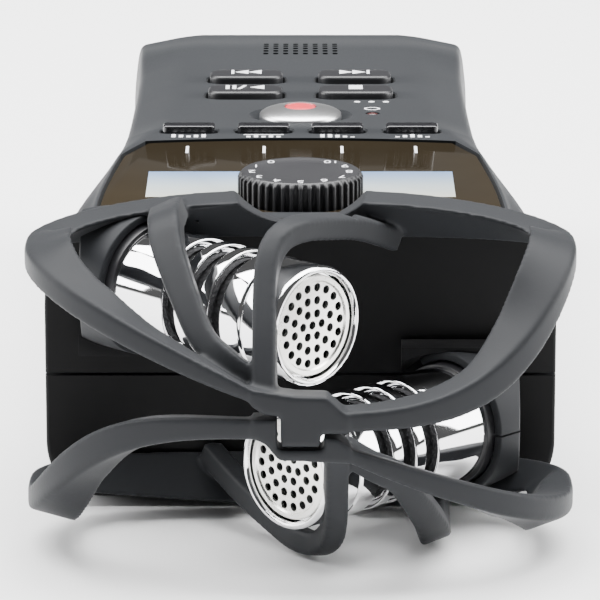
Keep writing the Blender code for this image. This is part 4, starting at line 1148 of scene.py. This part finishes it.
def makePanelSigns():
    # Plain rows of bars beside the function buttons, and a ring and dots by the record button.
    z, thick, foot = body["topLevel"] + 0.003, printed["panelThick"], printed["rowAt"] - 0.65
    shapes = []
    for node, heights in zip(functionButtons, printed["rows"]):
        x = middleOf(node)[0][0]
        for i, height in enumerate(heights):
            start = x + (i - 2) * 0.75 - 0.21
            shapes.append(block(start, start + 0.42, foot, foot + height, z, z + thick))
        if node == "button_limiter":
            shapes.append(block(x - 2, x + 2, foot + 1.1, foot + 1.3, z, z + thick))
    meshPiece("functionSigns", gathered(*shapes), finishes["icon"], 60)
    place = middleOf("rec_led")[0]
    ring = ringProfile(0.62, 0.85, 0.0, thick, 0.005, 1)
    level = float(panelLevel(printed["ringAt"])) + 0.004
    sign = turned(ring, (place[0], printed["ringAt"], level), (0, -panelSlope, -1), 32, reference=(0, 1, 0))
    meshPiece("recordSign", sign, finishes["icon"], 60)
    level = float(panelLevel(printed["dotsAt"])) + 0.004
    shapes = [post(0.32, level, level + thick, (place[0] + across, printed["dotsAt"]), 20)
              for across in (-1.5, 0.0, 1.5)]
    meshPiece("optionSign", gathered(*shapes), finishes["icon"], 60)


def makeRecord():
    low, high, centre = extentOf("rec_button")
    radius = (high[0] - low[0]) / 2 - 0.6
    seat, edge = record["lens"] + 0.15, high[2] - 0.85
    # A domed cap: the height falls off as the square root of one less the radius squared.
    share = np.linspace(0.99, seat / radius, 24)
    dome = np.column_stack([radius * share, edge + 0.95 * np.sqrt(1 - share ** 2)])
    profile = np.concatenate([[(seat, low[2]), (radius + 0.6, low[2]), (radius + 0.6, low[2] + 0.8),
                               (radius, low[2] + 0.8), (radius, edge - 0.15)], dome, [(seat, dome[-1, 1] - 0.05)]])
    ring = turned(profile, (0, centre[1], 0), (0, 0, 1), 96, reference=(0, 1, 0))
    piece = meshPiece("recordCap", ring, finishes["silver"], 40, "rec_button")
    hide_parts("rec_button")
    low, high = inMillimetres("rec_button_lens")
    level = dome[-1, 1]
    r = record["lens"] + 0.05
    profile = [(0, low[2]), (r, low[2]), (r, level - 0.12), (r - 0.15, level - 0.01), (0.8, level + 0.04),
               (0, level + 0.05)]
    lens = meshPiece("recordLens", spun(profile, (0, centre[1]), 64), finishes["lens"], 40, "rec_button")
    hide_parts("rec_button_lens")
    low, high, centre = extentOf("rec_led")
    profile = [(0, low[2]), (0.6, low[2]), (0.6, high[2] - 0.1), (0.5, high[2] + 0.02), (0.25, high[2] + 0.1),
               (0, high[2] + 0.12)]
    lamp = meshPiece("recordLamp", spun(profile, centre, 32), finishes["lamp"], 40)
    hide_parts("rec_led")


makeDisplay()
makeDial()
makePanelButtons()
makeSigns()
makePanelSigns()
makeRecord()
print("panel made")


# The sides, the back and what is seen through the openings.

keptFinishes = {
    "battery_left": "wrap", "battery_right": "wrap", "battery_tray": "black", "card_socket": "steel",
    "dial_potentiometer": "black", "key_pad": "rubber", "main_board": "board", "memory_card": "gloss",
    "speaker_driver": "black", "lcd_panel": "black"}
# Finish, name, bevel width in millimetres, bevel segments and slot
refinedParts = {
    "volume_up_button": ("gloss", "volumeUpCap", 0.15, 3, "glossy_black"),
    "volume_down_button": ("gloss", "volumeDownCap", 0.15, 3, "glossy_black"),
    "delete_button": ("gloss", "deleteCap", 0.15, 3, "glossy_black"),
    "power_switch": ("gloss", "powerSlider", 0.12, 3, "glossy_black"),
    "card_door": ("soft", "cardDoor", 0.12, 3, "soft_plastic"),
    "usb_port": ("steel", "usbPort", 0.06, 2, "steel"),
    "battery_cover": ("soft", "batteryCover", 0.2, 3, "soft_plastic")}


def refined(node, angle=35.0):
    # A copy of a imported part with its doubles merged, its flat faces joined and its edges eased.
    finish, name, width, segments, slot = refinedParts[node]
    data = nodes[node].data.copy()
    data.name = name
    work = bmesh.new()
    work.from_mesh(data)
    bmesh.ops.remove_doubles(work, verts=work.verts[:], dist=1e-6)
    bmesh.ops.dissolve_limit(work, angle_limit=math.radians(1.0), verts=work.verts[:], edges=work.edges[:])
    work.to_mesh(data)
    work.free()
    data.materials.clear()
    data.materials.append(finishes[finish])
    if data.has_custom_normals:
        data.normals_split_custom_set([(0, 0, 0)] * len(data.loops))
    data.shade_smooth()
    data.set_sharp_from_angle(angle=math.radians(angle))
    piece = bpy.data.objects.new(name, data)
    bpy.context.scene.collection.objects.link(piece)
    beveled(piece, width, segments, angle)
    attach(piece, "recorder" if node == "usb_port" else node)
    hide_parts(node)


def makeSides():
    for node in refinedParts:
        if node != "battery_cover":
            refined(node)
    centre, size = middleOf("usb_port")
    outline = rounded(size[1] - 1.3, size[2] - 1.3, 0.4, centre[1], centre[2], 4)
    mouth = centre[0] - size[0] / 2
    meshPiece("usbInside", sidePrism(outline, mouth + 0.9, mouth + 1.2), finishes["black"])
    refined("battery_cover")
    # Plus and minus signs on the volume buttons
    for node, upright in (("volume_up_button", True), ("volume_down_button", False)):
        low, high, centre = extentOf(node)
        bars = [(0.9, 0.16)] + ([(0.16, 0.9)] if upright else [])
        for i, (along, tall) in enumerate(bars):
            outline = rounded(2 * along, 2 * tall, 0.1, centre[1], centre[2], 2)
            shape = sidePrism(outline, high[0] - 0.03, high[0] + 0.02)
            meshPiece(f"volumeSign{node.split('_')[1]}{i}", shape, finishes["icon"], 60, node)
    # Grip ridges on the power slider
    low, high, centre = extentOf("power_switch")
    ridges = []
    for i in range(4):
        t = centre[1] + (i - 1.5) * 0.72
        outline = rounded(0.34, 1.7, 0.12, t, centre[2], 3)
        ridges.append(sidePrism(outline, low[0] - 0.12, low[0] + 0.1))
    meshPiece("powerRidges", gathered(*ridges), finishes["black"], 60, "power_switch")
    print("sides made")


def makeJacks():
    for node in ("line_in_jack", "phones_jack"):
        low, high, centre = extentOf(node)
        outer = (high[1] - low[1]) / 2
        corners = [(0, low[0]), (outer, low[0]), (outer, high[0] - 0.25), (outer - 0.25, high[0]), (2.15, high[0]),
                   (1.95, high[0] - 0.12), (1.8, high[0] - 0.5), (1.8, low[0] + 1.0), (0, low[0] + 1.0)]
        origin = (0, centre[1], centre[2])
        jack = turned(corners, origin, (1, 0, 0), 64, False)
        piece = meshPiece(node.replace("_jack", "Jack"), jack, finishes["gloss"], 40)
        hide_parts(node)
        ring = turned(ringProfile(1.84, 2.25, high[0] - 0.1, high[0] + 0.08, 0.05), origin, (1, 0, 0), 64)
        meshPiece(node.replace("_jack", "Ring"), ring, finishes["nickel"], 40)


def makeBack():
    low, high, centre = extentOf("tripod_insert")
    outer = (high[0] - low[0]) / 2
    # In the thread the bore's radius rises and falls along the depth and with the angle.
    rows, columns, pitch, bore = 110, 64, 1.27, 3.18
    depth = np.linspace(0, high[2] - low[2], rows)[:, None]
    angle = np.linspace(0, 2 * np.pi, columns, endpoint=False)[None, :]
    phase = (depth / pitch - angle / (2 * np.pi)) % 1.0
    bore = bore - 0.36 * (1 - np.abs(2 * phase - 1)) * eased(depth / 0.8)
    inside = np.stack([centre[0] + bore * np.cos(angle), centre[1] + bore * np.sin(angle),
                       np.broadcast_to(low[2] + depth, bore.shape)], axis=-1)
    rim = np.array([(outer, high[2]), (outer, low[2] + 0.2), (outer - 0.2, low[2]), (3.45, low[2])])
    outside = np.stack([centre[0] + rim[:, :1] * np.cos(angle), centre[1] + rim[:, :1] * np.sin(angle),
                        np.broadcast_to(rim[:, 1:], (4, columns))], axis=-1)
    grid = np.concatenate([inside, outside])
    points, faces = grid.reshape(-1, 3), gridFaces(len(grid), columns, True).tolist()
    piece = meshPiece("tripodInsert", (points, faces), finishes["brass"], 30)
    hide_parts("tripod_insert")
    for i in range(4):
        low, high, centre = extentOf(f"case_screw_{i + 1}")
        radius = (high[0] - low[0]) / 2
        profile = [(0, low[2]), (radius - 0.45, low[2]), (radius - 0.12, low[2] + 0.12), (radius, low[2] + 0.4),
                   (radius, low[2] + 1.2), (1.0, low[2] + 1.4), (1.0, high[2]), (0, high[2])]
        screw = meshPiece(f"caseScrew{i + 1}", spun(profile, centre, 48), finishes["steel"], 35)
        # A cross recess of two tapered slots
        cross = []
        for wide, tall in ((1.15, 0.24), (0.24, 1.15)):
            rings = [(1.0, low[2] - 0.5), (1.0, low[2] + 0.05), (0.45, low[2] + 0.85)]
            outline = np.array([(-wide, -tall), (wide, -tall), (wide, tall), (-wide, tall)])
            cross.append(lofted(np.stack([np.column_stack([outline * share + centre[:2], np.full(4, z)])
                                          for share, z in rings])))
        carved(screw, [cross[0]], [cross[1]], sharp=35)
        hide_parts(f"case_screw_{i + 1}")
    # Thumb grooves and an arrow on the battery cover
    low, high = inMillimetres("battery_cover")
    grooves = [prism(rounded(15.0 - 0.6 * i, 0.8, 0.35, 0.0, low[1] + 5.0 + 1.6 * i, 4), -1.0, 0.28)
               for i in range(6)]
    arrow = prism([(-2.2, low[1] + 16.5), (2.2, low[1] + 16.5), (0.0, low[1] + 19.5)], -1.0, 0.2)
    cover = bpy.data.objects["batteryCover"]
    settled(cover, 35)
    carved(cover, grooves + [arrow], sharp=35)
    print("back made")


def finishKept():
    contacts = {f"battery_contact_{side}_{end}": "nickel" for side in ("left", "right") for end in ("near", "far")}
    for node, name in {**keptFinishes, **contacts}.items():
        for slot in nodes[node].material_slots:
            slot.material = finishes[name]


makeSides()
makeJacks()
makeBack()
finishKept()
